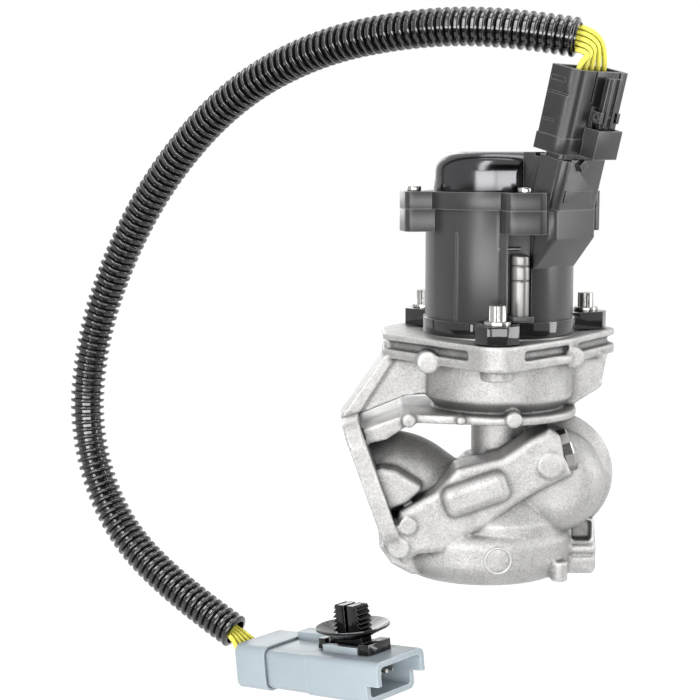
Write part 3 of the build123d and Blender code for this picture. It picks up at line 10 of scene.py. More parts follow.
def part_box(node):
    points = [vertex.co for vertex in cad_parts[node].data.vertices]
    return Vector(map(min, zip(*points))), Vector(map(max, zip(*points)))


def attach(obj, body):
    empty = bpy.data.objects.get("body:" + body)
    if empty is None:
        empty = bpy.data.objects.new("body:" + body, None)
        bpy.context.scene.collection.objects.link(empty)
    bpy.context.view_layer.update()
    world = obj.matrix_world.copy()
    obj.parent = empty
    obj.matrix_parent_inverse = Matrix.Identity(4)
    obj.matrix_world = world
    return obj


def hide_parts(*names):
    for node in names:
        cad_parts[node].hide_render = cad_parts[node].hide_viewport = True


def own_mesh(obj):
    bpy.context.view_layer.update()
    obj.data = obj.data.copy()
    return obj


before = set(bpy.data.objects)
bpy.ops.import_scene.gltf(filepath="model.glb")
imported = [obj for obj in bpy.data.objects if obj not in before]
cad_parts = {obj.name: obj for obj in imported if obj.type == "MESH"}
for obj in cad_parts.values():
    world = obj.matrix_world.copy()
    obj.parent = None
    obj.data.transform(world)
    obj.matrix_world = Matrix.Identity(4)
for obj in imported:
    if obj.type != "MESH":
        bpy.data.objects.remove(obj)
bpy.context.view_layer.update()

bl_info = {
    "name": "Exhaust Gas Valve",
    "version": (1, 0, 0),
    "blender": (4, 5, 0),
    "location": "View3D > Sidebar > Gas Valve",
    "description": "Finishes, conduit, wires and studio stage of a solenoid exhaust gas valve",
    "category": "Object",
}

MM = 0.001
BODY = "body"

# Route of the conduit from the plug to the grey connector, in millimetres
CONDUIT_ROUTE = [
    (70.0, -28.6, 152.9),
    (46.0, -20.0, 157.6),
    (15.0, -7.5, 157.8),
    (-17.5, 13.0, 152.3),
    (-48.5, 34.5, 137.0),
    (-75.5, 51.0, 109.5),
    (-95.0, 61.5, 77.0),
    (-108.0, 67.0, 41.5),
    (-111.5, 66.8, 5.0),
    (-100.0, 58.0, -29.0),
    (-76.0, 43.5, -52.0),
    (-48.5, 28.0, -66.5),
]

# One corrugation from groove to groove: share of the pitch and share of the rib's height
RIB_PROFILE = [
    (0.0, 0.0),
    (0.17, 0.0),
    (0.23, 0.3),
    (0.27, 0.78),
    (0.36, 0.98),
    (0.5, 1.0),
    (0.64, 0.98),
    (0.73, 0.78),
    (0.77, 0.3),
    (0.83, 0.0),
]

# Sides of the conduit's skin, and how many of its rings stand for one ring of the bore
CONDUIT_SIDES = 40
BORE_STEP = 6

# Shading breaks at edges of the ribs that are sharper than this, in degrees
RIB_CORNER = 50

# Plug on the leaning tower and the grey connector, in millimetres and degrees
TOWER_FOOT = (66.026, -18.526, 96.3)
TOWER_ANGLE = -45.0
TOWER_LEAN = 14.5
PLUG_FOOT = 20.3
PLUG_LENGTH = 28.0
CONNECTOR_REAR = (-38.6, 24.0, -75.0)
CONNECTOR_YAW = -41.5
CONNECTOR_PITCH = 7.0
WIRE_COUNT = 5
TERMINAL_PITCH = 3.6
WIRE_PITCH = 1.85

# Wires: how deep they start in the plug, how far they rise out of it before they bend, one after the other,
# and the share of a step by which their row leans where it enters the conduit
WIRE_DEPTH = 3.4
WIRE_RISE = 1.0
WIRE_RISE_STEP = 0.5
WIRE_LEAN = 0.6

# Where the wires pass the conduit's two mouths, along its line, and the connector's rear, along its own
NEAR_MOUTH_REACHES = (-5.5, 3.5)
FAR_MOUTH_REACHES = (-5.0, 1.5)
COLLAR_REACHES = (-4.0, 2.6)

# Valve axis, and the round mark on the front of the bowl: its centre, a place in front of it and its ridge
AXIS_X = 47.5
MARK_X = 45.6
MARK_Z = -23.4
MARK_FRONT_Y = -60
MARK_RIDGE = 0.45

# Sealing plug in the end face of the diagonal arm: its foot in millimetres and the way it points
ARM_END = (68.5, -17.0, 12.6)
ARM_END_AXIS = (0.955, 0, 0.297)
ARM_PLUG_THICK = 3.4
ARM_PLUG_EDGE = 0.5

# Bare label on the dome: its middle, round corners and thickness in millimetres, and steps round a corner
LABEL_Y = -3.0
LABEL_CORNER = 2
LABEL_THICK = 0.12
LABEL_STEPS = 5

# Rounded edges: their segments, the angle in degrees from which an edge is rounded, on mouldings and on
# turned or drawn metal, and how much sharper it has to be for the shading to break there
EDGE_SEGMENTS = 3
MOULDED_CORNER = 28
TURNED_CORNER = 40
SHADING_MARGIN = 12

# Edges of the column and the dome in millimetres, and others as a share of a moulded edge
COLUMN_EDGE = 0.1
DOME_EDGE = 0.12
PLUG_EDGE_SHARE = 0.6
COLLAR_EDGE_SHARE = 1.5
CLIP_EDGE_SHARE = 0.5

# How near points are in millimetres, and how flat faces in degrees, to be joined in a copy of a CAD mesh
SEAM_GAP = 0.002
FLAT_ANGLE = 0.4

# Smoothness of curves: steps along them and round a wire
CURVE_STEPS = 24
WIRE_TURNS = 6

# Patterns of the casting's skin, their depths and the reach of its painted crease shade in millimetres, and
# its darkness
CAST_PATCH = 7
CAST_GRIT = 0.7
CAST_SWIRL = 2.2
GRIT_DEPTH = 0.17
SWIRL_DEPTH = 0.2
CAST_CREASE = 6
CAST_PAINTED_SHADE = 0.68

# The same of mouldings, with the width of the highlight painted along their edges and what it adds to the
# colour
FLOW_MARK = 14
MOULD_GRAIN_DEPTH = 0.05
MOULD_CREASE = 3
MOULD_PAINTED_SHADE = 0.9
EDGE_HIGHLIGHT_WIDTH = 0.5
EDGE_HIGHLIGHT_TINT = "#7c7c7c"

# Depth of the tool marks of bare metal, in millimetres
TOOL_MARK_DEPTH = 0.02

# Studio, in metres, watts and strengths: floor, dark card, white surroundings, lamps and camera
FLOOR_HALF = 3.0
FLOOR_HEIGHT = -0.15
FLOOR_GLOW = 1.08
FLOOR_GLOW_SHARE = 0.92
CARD_HALF = 1.6
CARD_PROFILE = [(-0.22, -0.148), (-1.4, -0.148), (-1.4, 1.4)]
WORLD_LIGHT = 0.2
LAMPS = [
    # name, spot, aim, width, height, power
    ("front_left", (-0.45, -0.85, 0.04), (0.04, 0, 0.05), 0.6, 0.24, 4.7),
    ("front_right", (0.17, -0.88, 0.04), (0.04, 0, 0.05), 0.64, 0.24, 4.4),
    ("key", (-0.46, -0.66, 0.66), (0.0, 0, 0.06), 0.2, 1.1, 5.6),
    ("top", (0.1, 0.1, 0.95), (0.045, 0, 0.05), 0.6, 0.6, 4.4),
    ("side", (0.85, -0.1, 0.2), (0.045, 0, 0.05), 0.2, 0.6, 2.6),
    ("back", (-0.25, 0.95, 0.35), (0.0, 0, 0.05), 0.6, 0.6, 2.6),
]
CAMERA_SPOT = (-0.0051, -0.5457, 0.1149)
CAMERA_AIM = (-0.0051, 0.0, 0.046)
CAMERA_SENSOR = 36.0
CAMERA_LENS = 79.66
CAMERA_CLIP = 0.01


def linear(code):
    """Scene-linear colour, with alpha, of an sRGB hex value."""
    shares = [int(code[place : place + 2], 16) / 255 for place in (1, 3, 5)]
    channels = [share / 12.92 if share <= 0.04045 else ((share + 0.055) / 1.055) ** 2.4 for share in shares]
    return (*channels, 1.0)


def colour(name, description, code):
    """A colour that the user can change, from its sRGB hex value."""
    return bpy.props.FloatVectorProperty(
        name=name, description=description, default=linear(code), size=4, subtype="COLOR", min=0, max=1
    )


def length(name, description, millimetres):
    """A length that the user can change, from its value in millimetres."""
    return bpy.props.FloatProperty(
        name=name, description=description, default=millimetres * MM, min=0, unit="LENGTH", precision=5
    )


class ValveSizes(bpy.types.PropertyGroup):
    """Sizes of what is modelled around the frame."""

    conduit_diameter: length("Conduit", "Outside diameter of the conduit over its ribs", 13.2)
    conduit_groove: length("Conduit groove", "Depth of the grooves between the ribs", 1.5)
    conduit_bore: length("Conduit bore", "Inside diameter of the conduit", 9.6)
    rib_pitch: length("Rib pitch", "Distance from rib to rib", 2.95)
    wire_diameter: length("Wire", "Diameter of a wire over its insulation", 1.84)
    casting_grain: length("Casting grid", "Size of the casting's mesh", 0.6)
    mark_diameter: length("Round mark", "Diameter of the round mark on the bowl", 8.8)
    arm_plug_diameter: length("Arm plug", "Diameter of the sealing plug in the arm's end", 15.4)
    label_width: length("Label width", "Width of the bare label on the dome", 28)
    label_depth: length("Label depth", "Depth of the bare label on the dome", 19)
    moulded_edge: length("Moulded edge", "Rounding of the edges of mouldings", 0.35)
    turned_edge: length("Turned edge", "Rounding of the edges of bolts and screws", 0.18)


class ValveColours(bpy.types.PropertyGroup):
    """Colours of the finishes."""

    casting: colour("Casting", "Blasted die-cast aluminium", "#cac9c8")
    casting_shade: colour("Casting shade", "Aluminium in its darker patches", "#747372")
    seat: colour("Seat", "Stainless steel of the seat, poppet and stem", "#a8a6a2")
    bush: colour("Bush", "Sintered iron", "#6f6a63")
    graphite: colour("Graphite", "Carbon-filled seal and liner", "#232324")
    gasket: colour("Gasket", "Beaded steel sheet", "#9b9b98")
    ring: colour("Ring", "Glossy black mounting ring", "#0d0d0e")
    zinc: colour("Zinc", "Bright zinc plate", "#b4b3b0")
    drum: colour("Drum", "Black glass-filled moulding", "#212122")
    column: colour("Column", "Ground steel", "#8f8e8c")
    pole: colour("Pole steel", "Bare soft iron", "#77756f")
    bobbin: colour("Bobbin", "Natural moulded bobbin", "#d8cfba")
    copper: colour("Copper", "Enamelled copper", "#b5683a")
    spring: colour("Spring", "Oiled spring steel", "#8d8b86")
    dome: colour("Dome", "Polished black chrome plate", "#4c4c4e")
    label: colour("Label", "Bare white label", "#e2e2e0")
    board: colour("Board", "Ceramic sensor board", "#dcdcd2")
    carrier: colour("Carrier", "Black sensor carrier", "#2b2b2c")
    tin: colour("Tin", "Tinned terminals", "#c9c6bd")
    rubber: colour("Rubber", "Seal rubber", "#2f2f30")
    plug: colour("Plug", "Black plug moulding", "#1c1c1d")
    wire: colour("Wire", "Yellow insulation", "#f3e75a")
    conduit: colour("Conduit", "Gloss black conduit", "#0d0d0e")
    connector: colour("Connector", "Grey connector moulding", "#99a4aa")
    clip: colour("Clip", "Black clip moulding", "#09090a")
    floor: colour("Floor", "Pale studio floor", "#fafafa")


def per(millimetres):
    """Pattern scale for a repeat of that size, in object coordinates."""
    return 1 / (millimetres * MM)


def add(tree, kind, inputs=None, **settings):
    """Adds a node with its settings. An input takes a value or another node's output."""
    node = tree.nodes.new(kind)
    for name, value in settings.items():
        setattr(node, name, value)
    for name, value in (inputs or {}).items():
        if isinstance(value, bpy.types.NodeSocket):
            tree.links.new(value, node.inputs[name])
        else:
            node.inputs[name].default_value = value
    return node


def toned(shade, factor):
    """A colour made darker or paler by a factor."""
    return (*(min(1.0, channel * factor) for channel in shade[:3]), 1.0)


def surface(name, values):
    """A new material, its node tree, and its shader with these values."""
    material = bpy.data.materials.new(name)
    material.use_nodes = True
    tree = material.node_tree
    shader = tree.nodes["Principled BSDF"]
    for socket, value in values.items():
        shader.inputs[socket].default_value = value
    return material, tree, shader


def painted_crease_shade(tree, tone, reach_mm, share):
    """A colour with shade painted into its creases and pockets, darker the more the surface is closed in."""
    crease = add(tree, "ShaderNodeAmbientOcclusion", {"Distance": reach_mm * MM}, samples=8).outputs["AO"]
    grey = add(tree, "ShaderNodeMapRange", {"Value": crease, "From Min": 0.2, "From Max": 0.9})
    mix = add(
        tree,
        "ShaderNodeMix",
        {"Factor": share, "A": tone, "B": grey.outputs["Result"]},
        data_type="RGBA",
        blend_type="MULTIPLY",
    )
    return mix.outputs["Result"]


def painted_edge_highlight(tree, tone, reach_mm, share):
    """A colour with a highlight painted along its sharp edges, wherever the surface turns."""
    rounder = add(tree, "ShaderNodeBevel", {"Radius": reach_mm * MM}, samples=6).outputs["Normal"]
    flat = add(tree, "ShaderNodeNewGeometry").outputs["Normal"]
    turn = add(tree, "ShaderNodeVectorMath", {0: rounder, 1: flat}, operation="DOT_PRODUCT").outputs["Value"]
    edge = add(
        tree, "ShaderNodeMapRange", {"Value": turn, "From Min": 0.99, "From Max": 0.86, "To Max": share}
    )
    mix = add(
        tree,
        "ShaderNodeMix",
        {"Factor": edge.outputs["Result"], "A": tone, "B": linear(EDGE_HIGHLIGHT_TINT)},
        data_type="RGBA",
        blend_type="ADD",
    )
    return mix.outputs["Result"]


def blasted_aluminium(colours):
    """Shot-blasted die-cast aluminium: a satin grey skin with sandy grain, dull patches, a highlight painted
    along its edges and shade painted in its creases.
    """
    material, tree, shader = surface("blasted_die_cast_aluminium", {"Metallic": 0.85})
    place = add(tree, "ShaderNodeTexCoord").outputs["Object"]
    patches = add(
        tree,
        "ShaderNodeTexNoise",
        {"Vector": place, "Scale": per(CAST_PATCH), "Detail": 5, "Roughness": 0.65},
    )
    # Blasting grit is about 0.3 mm; it is drawn at 0.7 mm so that it shows
    grit = add(
        tree, "ShaderNodeTexNoise", {"Vector": place, "Scale": per(CAST_GRIT), "Detail": 4, "Roughness": 0.8}
    ).outputs["Fac"]
    swirl = add(
        tree, "ShaderNodeTexNoise", {"Vector": place, "Scale": per(CAST_SWIRL), "Detail": 4, "Roughness": 0.6}
    )
    # Painted highlight: sharp convex edges are mixed towards the pale casting colour
    edge_sharpness = add(tree, "ShaderNodeNewGeometry").outputs["Pointiness"]
    dull = add(tree, "ShaderNodeMapRange", {"Value": patches.outputs["Fac"], "To Min": -0.35, "To Max": 0.35})
    sand = add(tree, "ShaderNodeMapRange", {"Value": grit, "To Min": -0.85, "To Max": 0.85})
    edge = add(
        tree, "ShaderNodeMapRange", {"Value": edge_sharpness, "From Min": 0.42, "From Max": 0.58, "To Max": 1.15}
    )
    spots = add(tree, "ShaderNodeMath", {0: dull.outputs[0], 1: sand.outputs[0]}, operation="ADD")
    blend = add(
        tree, "ShaderNodeMath", {0: spots.outputs[0], 1: edge.outputs[0]}, operation="ADD", use_clamp=True
    )
    skin = add(
        tree,
        "ShaderNodeMix",
        {"Factor": blend.outputs[0], "A": colours.casting_shade, "B": colours.casting},
        data_type="RGBA",
    )
    # Shade painted into the casting's creases and pockets
    tone = painted_crease_shade(tree, skin.outputs["Result"], CAST_CREASE, CAST_PAINTED_SHADE)
    tree.links.new(tone, shader.inputs["Base Color"])
    satin = add(tree, "ShaderNodeMapRange", {"Value": grit, "To Min": 0.34, "To Max": 0.6})
    tree.links.new(satin.outputs["Result"], shader.inputs["Roughness"])
    waves = add(
        tree,
        "ShaderNodeBump",
        {"Height": swirl.outputs["Fac"], "Strength": 0.35, "Distance": SWIRL_DEPTH * MM},
    )
    grain = add(
        tree,
        "ShaderNodeBump",
        {"Height": grit, "Strength": 1.0, "Distance": GRIT_DEPTH * MM, "Normal": waves.outputs["Normal"]},
    )
    tree.links.new(grain.outputs["Normal"], shader.inputs["Normal"])
    return material


def moulding(
    name,
    shade,
    rough,
    grain_mm=0.45,
    relief=0.5,
    speckle=0.3,
    spread=0.3,
    edge_highlight=0.0,
    gleam=0.5,
    coat=0.0,
    coat_rough=0.06,
    coat_ior=1.5,
):
    """Moulded plastic or rubber: one colour through, a spark-eroded grain and faint flow marks.

    Relief and speckle are the depth and the contrast of its grain, spread is the range of its tone, gleam its
    own shine, coat the shine of a gloss skin, and edge_highlight the strength of the highlight painted along
    its edges. Shade is painted into its creases.
    """
    shine = {
        "Specular IOR Level": gleam,
        "Coat Weight": coat,
        "Coat Roughness": coat_rough,
        "Coat IOR": coat_ior,
    }
    material, tree, shader = surface(name, shine)
    place = add(tree, "ShaderNodeTexCoord").outputs["Object"]
    # The mould's grain is about 0.2 mm; it is drawn coarser so that it shows
    grain = add(
        tree, "ShaderNodeTexNoise", {"Vector": place, "Scale": per(grain_mm), "Detail": 3, "Roughness": 0.7}
    ).outputs["Fac"]
    flow = add(
        tree, "ShaderNodeTexNoise", {"Vector": place, "Scale": per(FLOW_MARK), "Detail": 4, "Roughness": 0.6}
    )
    marks = add(tree, "ShaderNodeMapRange", {"Value": flow.outputs["Fac"], "To Min": -0.2, "To Max": 0.7})
    dots = add(tree, "ShaderNodeMapRange", {"Value": grain, "To Min": -speckle, "To Max": speckle})
    blend = add(
        tree, "ShaderNodeMath", {0: marks.outputs[0], 1: dots.outputs[0]}, operation="ADD", use_clamp=True
    )
    tint = add(
        tree,
        "ShaderNodeMix",
        {"Factor": blend.outputs[0], "A": toned(shade, 1 - spread), "B": toned(shade, 1 + 2 * spread)},
        data_type="RGBA",
    )
    tone = tint.outputs["Result"]
    # A highlight painted along the edges, when one is asked for
    if edge_highlight:
        tone = painted_edge_highlight(tree, tone, EDGE_HIGHLIGHT_WIDTH, edge_highlight)
    # Shade painted into the creases
    tree.links.new(painted_crease_shade(tree, tone, MOULD_CREASE, MOULD_PAINTED_SHADE), shader.inputs["Base Color"])
    satin = add(tree, "ShaderNodeMapRange", {"Value": grain, "To Min": rough - 0.12, "To Max": rough + 0.14})
    tree.links.new(satin.outputs["Result"], shader.inputs["Roughness"])
    bump = add(
        tree, "ShaderNodeBump", {"Height": grain, "Strength": relief, "Distance": MOULD_GRAIN_DEPTH * MM}
    )
    tree.links.new(bump.outputs["Normal"], shader.inputs["Normal"])
    return material


def bare_metal(name, shade, rough, streak=(1, 1, 1), streak_mm=0.6, relief=0.12):
    """Machined, rolled or plated metal: fine tool marks run the way that streak squeezes them."""
    material, tree, shader = surface(name, {"Metallic": 1.0})
    place = add(tree, "ShaderNodeTexCoord").outputs["Object"]
    stretched = add(tree, "ShaderNodeMapping", {"Vector": place, "Scale": streak}).outputs["Vector"]
    # Tool marks are 0.02 to 0.1 mm apart; they are drawn coarser so that they show
    marks = add(
        tree,
        "ShaderNodeTexNoise",
        {"Vector": stretched, "Scale": per(streak_mm), "Detail": 4, "Roughness": 0.65},
    ).outputs["Fac"]
    tint = add(
        tree,
        "ShaderNodeMix",
        {"Factor": marks, "A": toned(shade, 0.82), "B": toned(shade, 1.08)},
        data_type="RGBA",
    )
    tree.links.new(tint.outputs["Result"], shader.inputs["Base Color"])
    sheen = add(tree, "ShaderNodeMapRange", {"Value": marks, "To Min": rough * 0.75, "To Max": rough * 1.3})
    tree.links.new(sheen.outputs["Result"], shader.inputs["Roughness"])
    bump = add(
        tree, "ShaderNodeBump", {"Height": marks, "Strength": relief, "Distance": TOOL_MARK_DEPTH * MM}
    )
    tree.links.new(bump.outputs["Normal"], shader.inputs["Normal"])
    return material


def seen_directly(tree):
    """One where the eye, a reflection or clear glass looks at a surface, and nought for its light."""
    path = add(tree, "ShaderNodeLightPath")
    seen = path.outputs["Is Camera Ray"]
    for sight in ("Is Glossy Ray", "Is Transmission Ray"):
        seen = add(tree, "ShaderNodeMath", {0: seen, 1: path.outputs[sight]}, operation="MAXIMUM").outputs[0]
    return seen


def give(node, material):
    """Gives a CAD node's own object a finish."""
    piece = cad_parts[node]
    if not piece.material_slots:
        piece.data.materials.append(None)
    for slot in piece.material_slots:
        slot.link = "OBJECT"
        slot.material = material


def show(name, mesh, material, body=BODY, nodes=()):
    """Puts a finished mesh in the scene: it rides a body, takes a slot and stands for CAD nodes."""
    piece = bpy.data.objects.new(name, mesh)
    bpy.context.scene.collection.objects.link(piece)
    mesh.materials.clear()
    mesh.materials.append(material)
    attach(piece, body)
    if nodes:
        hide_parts(*nodes)
    return piece


def cad_copy(node):
    """A copy of a node's mesh with its seams joined and its flat faces made whole."""
    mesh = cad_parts[node].data.copy()
    form = bmesh.new()
    form.from_mesh(mesh)
    bmesh.ops.remove_doubles(form, verts=form.verts, dist=SEAM_GAP * MM)
    bmesh.ops.dissolve_limit(form, angle_limit=radians(FLAT_ANGLE), verts=form.verts, edges=form.edges)
    form.to_mesh(mesh)
    form.free()
    return mesh


def settled(mesh, modifiers):
    """The mesh that a list of modifiers makes of a mesh."""
    helper = bpy.data.objects.new("helper", mesh)
    bpy.context.scene.collection.objects.link(helper)
    for kind, settings in modifiers:
        modifier = helper.modifiers.new(kind.lower(), kind)
        for name, value in settings.items():
            setattr(modifier, name, value)
    graph = bpy.context.evaluated_depsgraph_get()
    made = bpy.data.meshes.new_from_object(helper.evaluated_get(graph))
    bpy.data.objects.remove(helper)
    return made


def rounded(node, name, material, edge, body=BODY, corner=MOULDED_CORNER):
    """A CAD node shown with its edges rounded, as a mould or a tool leaves them."""
    bevel = {
        "width": edge,
        "segments": EDGE_SEGMENTS,
        "limit_method": "ANGLE",
        "angle_limit": radians(corner),
        "use_clamp_overlap": True,
        "miter_outer": "MITER_ARC",
        "harden_normals": False,
    }
    mesh = settled(cad_copy(node), [("BEVEL", bevel)])
    mesh.shade_smooth()
    mesh.set_sharp_from_angle(angle=radians(corner + SHADING_MARGIN))
    return show(name, mesh, material, body, [node])


def seated(origin, x_dir, z_dir):
    """Matrix of a plane in millimetres, as the frame's own planes are given."""
    up = Vector(z_dir).normalized()
    across = Vector(x_dir).normalized()
    inward = up.cross(across)
    return Matrix.Translation(origin) @ Matrix((across, inward, up)).transposed().to_4x4()


def nurbs_curve(name, routes, bevel=0.0):
    """A curve object with one smooth open spline for each route, in millimetres."""
    data = bpy.data.curves.new(name, "CURVE")
    data.dimensions = "3D"
    data.resolution_u = CURVE_STEPS
    data.bevel_depth = bevel
    data.bevel_resolution = WIRE_TURNS
    data.use_fill_caps = bevel > 0
    for route in routes:
        spline = data.splines.new("NURBS")
        spline.points.add(len(route) - 1)
        for point, spot in zip(spline.points, route):
            point.co = (*(Vector(spot) * MM), 1.0)
        spline.order_u = 3
        spline.use_endpoint_u = True
    curve = bpy.data.objects.new(name, data)
    bpy.context.scene.collection.objects.link(curve)
    return curve


def line_points(route):
    """The points of a route's smooth line, read from its spline."""
    curve = nurbs_curve("route", [route])
    mesh = bpy.data.meshes.new_from_object(curve)
    points = [vertex.co.copy() for vertex in mesh.vertices]
    bpy.data.objects.remove(curve)
    bpy.data.meshes.remove(mesh)
    return points


def placed(points, shares):
    """Points at shares of a line's length, and that length."""
    runs = [0.0]
    for a, b in zip(points, points[1:]):
        runs.append(runs[-1] + (b - a).length)
    spots = []
    piece = 0
    for share in shares:
        reach = share * runs[-1]
        while piece < len(points) - 2 and runs[piece + 1] < reach:
            piece += 1
        part = (reach - runs[piece]) / (runs[piece + 1] - runs[piece])
        spots.append(points[piece].lerp(points[piece + 1], part))
    return spots, runs[-1]


def carried_frames(points):
    """Two directions across a line at each of its points, carried along it without twist."""
    ways = [(b - a).normalized() for a, b in zip(points, points[1:])]
    ways = [ways[0]] + [(a + b).normalized() for a, b in zip(ways, ways[1:])] + [ways[-1]]
    across = ways[0].orthogonal().normalized()
    crosses = []
    for way in ways:
        across = (across - way * across.dot(way)).normalized()
        crosses.append((across.copy(), way.cross(across)))
    return crosses


def ring(form, centre, across, up, radius, sides):
    """Vertices in a circle round a centre."""
    angles = [2 * pi * side / sides for side in range(sides)]
    return [form.verts.new(centre + (across * cos(angle) + up * sin(angle)) * radius) for angle in angles]


def join_rings(form, pairs):
    """Bands of faces between pairs of rings."""
    for near, far in pairs:
        for side in range(len(near)):
            after = (side + 1) % len(near)
            form.faces.new((near[side], near[after], far[after], far[side]))


def finished(form, name):
    """The mesh of a closed form, with its faces turned outwards."""
    bmesh.ops.recalc_face_normals(form, faces=form.faces)
    mesh = bpy.data.meshes.new(name)
    form.to_mesh(mesh)
    form.free()
    return mesh


def corrugated_tube(line, rib_count, outer, groove, bore):
    """The conduit's ribbed skin and its bore along one line, with a narrow lip between them at each end."""
    shares = [(rib + share) / rib_count for rib in range(rib_count) for share, _ in RIB_PROFILE]
    heights = [height for _ in range(rib_count) for _, height in RIB_PROFILE]
    spots, _ = placed(line, shares)
    crosses = carried_frames(spots)
    form = bmesh.new()
    skin = [
        ring(form, spot, *cross, outer - groove * (1 - height), CONDUIT_SIDES)
        for spot, cross, height in zip(spots, crosses, heights)
    ]
    last = len(spots) - 1
    hollow = [
        ring(form, spots[place], *crosses[place], bore, CONDUIT_SIDES)
        for place in (*range(0, last, BORE_STEP), last)
    ]
    join_rings(form, zip(skin, skin[1:]))
    join_rings(form, zip(hollow, hollow[1:]))
    join_rings(form, ((skin[0], hollow[0]), (skin[-1], hollow[-1])))
    return finished(form, "conduit_skin")


def cast_ring(casting, diameter, sides=48, turns=10):
    """A raised ring cast on the front of the bowl, laid on the casting's own skin."""
    form = bmesh.new()
    rings = []
    for side in range(sides):
        angle = 2 * pi * side / sides
        outward = Vector((cos(angle), 0, sin(angle)))
        above = Vector((MARK_X, MARK_FRONT_Y, MARK_Z)) * MM + outward * diameter / 2
        found, spot, normal, _ = casting.ray_cast(above, Vector((0, 1, 0)))
        if not found:
            raise RuntimeError("the bowl has no skin under its mark")
        rings.append(ring(form, spot, outward, normal, MARK_RIDGE * MM, turns))
    join_rings(form, zip(rings, rings[1:] + rings[:1]))
    mesh = finished(form, "cast_mark")
    mesh.shade_smooth()
    return mesh


def faceted_disc(centre, axis, radius, thick, edge, sides=12):
    """A disc with flats round its rim and a narrow chamfer, standing on its centre, in millimetres."""
    base = seated(centre, Vector((0, 1, 0)), axis)
    angles = [2 * pi * side / sides for side in range(sides)]
    form = bmesh.new()
    rings = []
    for reach, height in ((radius, 0), (radius, thick - edge), (radius - edge, thick)):
        spots = [Vector((reach * cos(angle), reach * sin(angle), height)) for angle in angles]
        rings.append([form.verts.new((base @ spot) * MM) for spot in spots])
    join_rings(form, zip(rings, rings[1:]))
    form.faces.new(rings[0])
    form.faces.new(rings[-1])
    return finished(form, "faceted_disc")


def label_plate(wide, deep, corner, thick):
    """A thin rectangle with round corners, as a label is cut, with its lower face at the origin."""
    form = bmesh.new()
    outline = []
    for turn, (side, end) in enumerate(((1, 1), (-1, 1), (-1, -1), (1, -1))):
        for step in range(LABEL_STEPS + 1):
            angle = radians(90 * turn + 90 / LABEL_STEPS * step)
            across = side * (wide / 2 - corner) + corner * cos(angle)
            along = end * (deep / 2 - corner) + corner * sin(angle)
            outline.append(form.verts.new((across, along, 0)))
    raised = bmesh.ops.extrude_face_region(form, geom=[form.faces.new(outline)])
    for item in raised["geom"]:
        if isinstance(item, bmesh.types.BMVert):
            item.co.z += thick
    return finished(form, "label_plate")


def wire_routes():
    """Points of the five wires from plug to conduit and from conduit to grey connector, in millimetres."""
    row = [index - (WIRE_COUNT - 1) / 2 for index in range(WIRE_COUNT)]
    out = (cos(radians(TOWER_ANGLE)), sin(radians(TOWER_ANGLE)))
    lean = radians(TOWER_LEAN)
    tower = seated(TOWER_FOOT, (-out[1], out[0], 0), (sin(lean) * out[0], sin(lean) * out[1], cos(lean)))
    plug = tower @ Matrix.Translation((0, 0, PLUG_FOOT))
    yaw = radians(CONNECTOR_YAW)
    pitch = radians(CONNECTOR_PITCH)
    along = (cos(yaw) * cos(pitch), sin(yaw) * cos(pitch), sin(pitch))
    grey = seated(CONNECTOR_REAR, (-sin(yaw), cos(yaw), 0), along)
    up = Vector((0, 0, 1))
    ends = [Vector(spot) for spot in CONDUIT_ROUTE]
    entry = (ends[1] - ends[0]).normalized()
    leave = (ends[-1] - ends[-2]).normalized()
    near = seated(ends[0], up.cross(entry), entry)
    far = seated(ends[-1], up.cross(leave), leave)
    plug_side = [
        [
            plug @ Vector((step * TERMINAL_PITCH, 0, PLUG_LENGTH - WIRE_DEPTH)),
            plug @ Vector((step * TERMINAL_PITCH, 0, PLUG_LENGTH + WIRE_RISE + WIRE_RISE_STEP * index)),
            *(near @ Vector((-step * WIRE_LEAN, step * WIRE_PITCH, reach)) for reach in NEAR_MOUTH_REACHES),
        ]
        for index, step in enumerate(row)
    ]
    grey_side = [
        [
            *(far @ Vector((step * WIRE_PITCH, 0, reach)) for reach in FAR_MOUTH_REACHES),
            *(grey @ Vector((step * TERMINAL_PITCH, 0, reach)) for reach in COLLAR_REACHES),
        ]
        for step in row
    ]
    return plug_side, grey_side


def stage_sheet(name, corners, faces, material):
    """A flat or folded sheet of the studio."""
    mesh = bpy.data.meshes.new(name)
    mesh.from_pydata(corners, [], faces)
    mesh.materials.append(material)
    sheet = bpy.data.objects.new(name, mesh)
    bpy.context.scene.collection.objects.link(sheet)
    return sheet


def aimed(name, data, spot, aim):
    """A lamp or camera at a spot, turned to what it is aimed at."""
    holder = bpy.data.objects.new(name, data)
    holder.location = spot
    holder.rotation_euler = (Vector(aim) - Vector(spot)).to_track_quat("-Z", "Y").to_euler()
    bpy.context.scene.collection.objects.link(holder)
    return holder


class GasValveStep:
    """What the operators share: the user's sizes and colours."""

    bl_options = {"REGISTER"}

    @property
    def sizes(self):
        return bpy.context.scene.gas_valve_sizes

    @property
    def colours(self):
        return bpy.context.scene.gas_valve_colours


